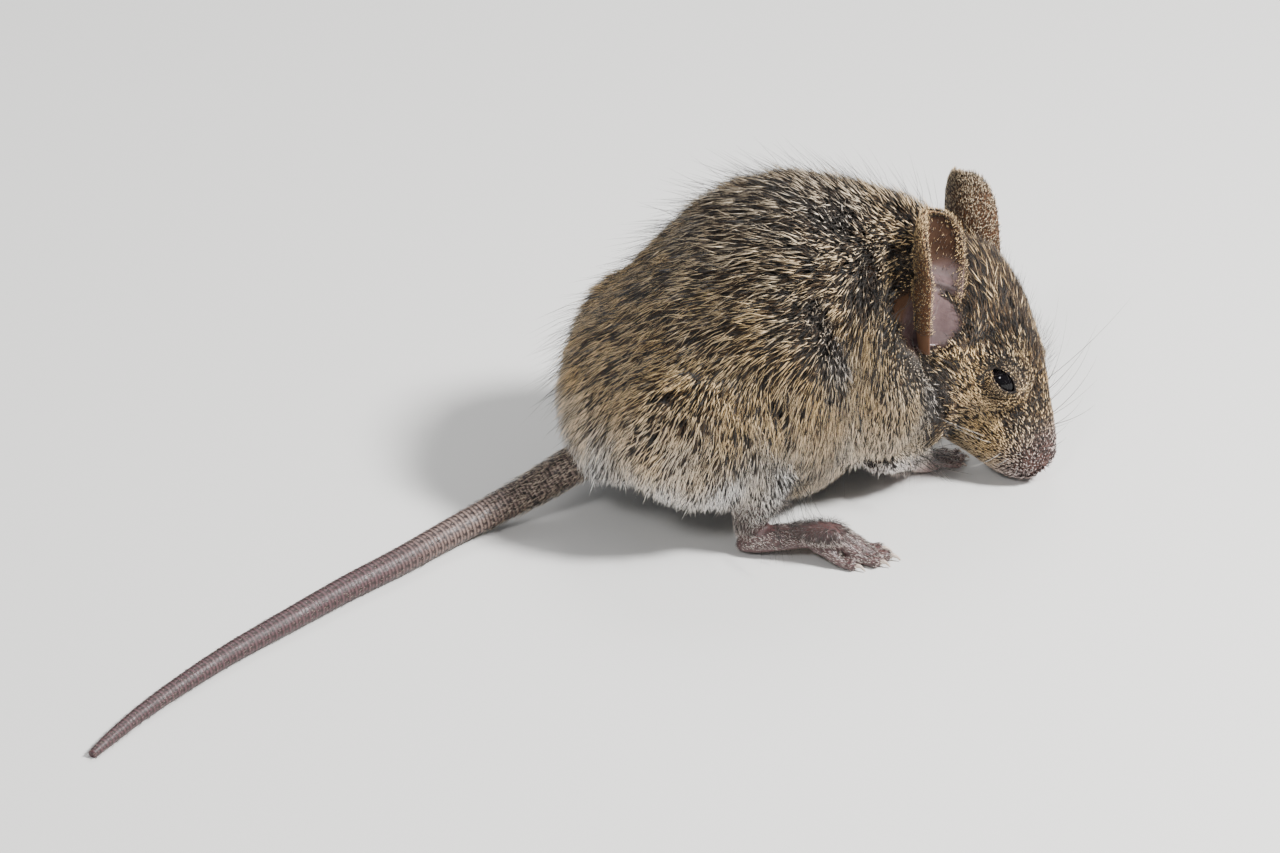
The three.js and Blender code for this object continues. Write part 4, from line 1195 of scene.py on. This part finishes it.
EAR_TRIES = {"back": 7600, "cup": 9600}
EAR_HAIR_WIDTH = 0.055
for side, name in ((1, "left"), (-1, "right")):
    inner, outer = ear_grids[side][:2]
    for face, grid, way in (("back", outer, -1), ("cup", inner, 1)):
        most = EAR_TRIES[face]
        u, v = draw.uniform(0.01, 0.99, (2, most))
        v = 0.10 + 0.89 * v
        hind = u if side > 0 else 1 - u
        rim = np.maximum(smoothstep(0.80, 0.94, hind), 0.7 * smoothstep(0.16, 0.04, hind))
        in_cup = np.maximum(np.maximum(rim, 0.6 * smoothstep(0.84, 0.97, v)), 0.03)
        keep = in_cup if face == "cup" else 0.9
        chosen = draw.uniform(size=most) < keep
        u, v, hind = u[chosen], v[chosen], hind[chosen]
        count = len(u)
        roots = on_grid(grid, u, v)
        normals = way * ear_normals(u, v, side)
        step = 0.01
        upward = unit(ear_leaf(u, np.minimum(1, v + step), side) - ear_leaf(u, v - step, side))
        outward_way = unit(ear_leaf(u + step, v, side) - ear_leaf(u - step, v, side))
        flow = upward + 0.8 * (2 * u - 1)[:, None] * outward_way + draw.normal(0, 0.16, (count, 3))
        lift = np.clip(draw.normal(0.34, 0.12, count), 0.05, 1)
        # The right ear, facing the key lamp, gets more golden hairs than the left: painted light on
        # the lit ear, painted shade on the far one.
        furry, gold_painted_by_light = (1.0, 1.0) if side < 0 else (0.8, 0.35)
        hairs(f"coat_ear_{face}_{name}", roots, normals, flow,
              furry * draw.uniform(0.55, 1.0, count), EAR_HAIR_WIDTH, lift, lift * 0.5,
              np.stack([u, v], -1), (draw.uniform(0.35, 0.95, count), 0 * u, gold_painted_by_light + 0 * u),
              (0.42, 0.0, 0.0), fur_paint, belly=0.35)

# Fine whitish hairs of the feet, from the ankle to the toes, lying forward.
FOOT_HAIRS, FOOT_HAIR_WIDTH, MOST_ON_FOOT = 36, 0.042, 9000


def foot_density(points, normals):
    """FOOT_HAIRS per square mm on top and on the sides, and none on the sole."""
    return (FOOT_HAIRS * smoothstep(-0.5, 0.1, normals[:, 2])
            * smoothstep(0.25, 0.6, points[:, 2]))


for name, turn, ground in zip(
        ("hind_left", "fore_left", "hind_right", "fore_right"),
        (FOOT_TURN[1], PAW_TURN[1], FOOT_TURN[-1], PAW_TURN[-1]), feet_grounds):
    roots, normals = rooted(ground, foot_density, MOST_ON_FOOT)
    count = len(roots)
    forward = turn_matrix(turn, 0, 0)[:, 0]
    high = smoothstep(2.6, 4.2, roots[:, 2])[:, None]
    flow = (1 - high) * (forward + [0, 0, -0.25]) + high * np.array([-0.15, 0, -1.0])
    flow = flow + draw.normal(0, 0.12, (count, 3))
    ahead = (roots - ground[0].mean(0)) @ forward
    top = smoothstep(0.5, 0.95, normals[:, 2]) * smoothstep(-5.5, -3.5, ahead)
    top *= smoothstep(4.5, 2.5, ahead)
    lift = np.clip(draw.normal(0.26, 0.10, count), 0.04, 1)
    length = (0.75 + 1.2 * high[:, 0]) * draw.uniform(0.7, 1.2, count)
    # The hind feet get darker hairs on top; the forepaws get lighter ones, partly their own pale
    # colour and partly painted light where the head's shadow falls.
    hind_dark_fore_lit = 0.05 + 0.35 * top if name.startswith("hind") else -0.2 + 0 * top
    chart = np.stack([roots @ np.cross([0, 0, 1], forward), roots @ forward], -1)
    hairs(f"coat_foot_{name}", roots, normals, flow, length, FOOT_HAIR_WIDTH, lift, lift * 0.4,
          chart, (np.clip(draw.uniform(0.35, 1.0, count) - hind_dark_fore_lit, 0, 1), 0.7 + 0 * top, 0 * top),
          (0.0, 0.45, 0.0), fur_paint, belly=0.35)

# Tail bristles: a few short hairs behind each scale, thicker and buff where the coat ends.
BRISTLE_TRIES = 9000
i = np.sort((10 + (len(tail_rings) - 12) * draw.uniform(size=BRISTLE_TRIES) ** 1.5).astype(int))
k = draw.integers(0, TAIL_SIDES, BRISTLE_TRIES)
base = smoothstep(22, 10, tail_steps[i])
keep = draw.uniform(size=BRISTLE_TRIES) < 0.30 + 0.70 * base
i, k, base = i[keep], k[keep], base[keep]
count = len(i)
roots = tail_rings[i, k] + draw.normal(0, 0.02, (count, 3))
normals = unit(roots - tail_path[i, :3])
flow = unit(tail_path[i + 1, :3] - tail_path[i, :3]) + draw.normal(0, 0.10, (count, 3))
lift = np.clip(draw.normal(0.22, 0.08, count), 0.02, 1)
hairs("coat_tail", roots, normals, flow, (0.75 + 0.9 * base) * draw.uniform(0.7, 1.3, count),
      0.040 + 0.01 * base, lift, lift * 0.6, np.stack([k / TAIL_SIDES, tail_steps[i] / 80], -1),
      (draw.uniform(0.25 + 0.20 * base, 0.9), 0.35 - 0.10 * base, 0.3 + 0.1 * base),
      (0.0, 0.2, 0.0), fur_paint, belly=0.35)

# ---------- Whiskers ----------
# Long stiff hairs in four rows of five on each side of the muzzle: black ones, and white ones in
# the lowest row and here and there above it. Each is a tapering curved thread.
WHISKER_ROWS, WHISKERS_IN_ROW, WHISKER_RADIUS = 4, 5, 0.044


def thread(path, thick, sides=5):
    """Rings of a thread: radius thick (1 - 0.9 t) on the path, t from 0 to 1."""
    t = np.linspace(0, 1, len(path))
    rows = np.concatenate([path, (thick * (1 - 0.9 * t))[:, None], np.ones((len(path), 1))], 1)
    return outward(*closed(limb_rings(rows, sides, 1)))


def arc(root, way, sag, length, steps=12):
    """Points root + way length t + sag length t2, t from 0 to 1."""
    t = np.linspace(0, 1, steps)[:, None]
    return root + unit(np.array(way)) * length * t + np.array(sag) * length * t ** 2


black_whisker = flecked("whisker_horn", 500, 1, (0.012, 0.010, 0.009), (0.07, 0.055, 0.045),
                        0.25, 0.4, 0.5)
white_whisker = flecked("whisker_white", 500, 1, (0.42, 0.39, 0.35), (0.80, 0.77, 0.72),
                        0.25, 0.4, 0.5)
for side, name in ((1, "left"), (-1, "right")):
    dark_ones, white_ones = [], []
    for row in range(WHISKER_ROWS):
        for place in range(WHISKERS_IN_ROW):
            root = np.array([18.9 - 1.15 * place, side * (3.0 + 0.22 * place),
                             1.1 - 1.15 * row - 0.12 * place])
            root += draw.normal(0, 0.12, 3)
            back = 0.10 if row < 2 else 0.34
            way = np.array([0.30 - back * place, side * (0.55 + 0.16 * row), 1.15 - 0.44 * row])
            way += draw.normal(0, 0.11, 3)
            sag = np.array([-0.22, side * -0.06, -0.10]) + draw.normal(0, 0.06, 3)
            reach = (7.0 + 3.0 * place) * draw.uniform(0.75, 1.1) * (1.0 - 0.16 * row)
            line = from_head(arc(root, way, sag, reach))
            line[:, 2] = np.maximum(line[:, 2], 0.15)
            pick = white_ones if row == WHISKER_ROWS - 1 or draw.uniform() < 0.08 else dark_ones
            pick.append(thread(line, WHISKER_RADIUS - 0.008 * row))
    for colour_name, ones, paint in (("dark", dark_ones, black_whisker),
                                     ("white", white_ones, white_whisker)):
        whiskers = mesh_of(f"whiskers_{colour_name}_{name}", *joined(ones))
        whiskers.data.shade_smooth()
        whiskers.data.materials.append(paint)
        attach(whiskers, "root")

# ---------- Claws ----------
# Each toe ends in a small curved claw of pale horn. It grows out of the toe's tip, so its first
# fifth is sunk in the skin, and it tapers to a blunt point just above the floor.
CLAW_LENGTH, CLAW_SUNK, CLAW_STEPS = {"hind": 1.25, "fore": 0.8}, 0.22, 7
claw_rings = []
for path, thick, name in toe_tips:
    tip, before = path[-1, :3], path[-3, :3]
    ahead = unit((tip - before) * [1, 1, 0])
    long = CLAW_LENGTH[name]
    t = np.linspace(0, 1, CLAW_STEPS)[:, None]
    arch = 0.28 * np.sin(np.pi * t) * long - 0.42 * t
    line = tip + ahead * long * (t - CLAW_SUNK) + [0, 0, 1] * arch
    line[:, 2] = np.maximum(line[:, 2], 0.16)
    radius = thick * 0.42 * (1 - 0.78 * t)
    rows = np.concatenate([line, radius, np.full((CLAW_STEPS, 1), 0.85)], 1)
    claw_rings.append(outward(*closed(limb_rings(rows, 10, 2))))
claws = mesh_of("claws", *joined(claw_rings))
claws.data.shade_smooth()
claws.data.materials.append(flecked(
    "claw_horn", 1500, 2, (0.30, 0.22, 0.17), (0.62, 0.52, 0.44), 0.22, 0.38, 0.5))
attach(claws, "root")
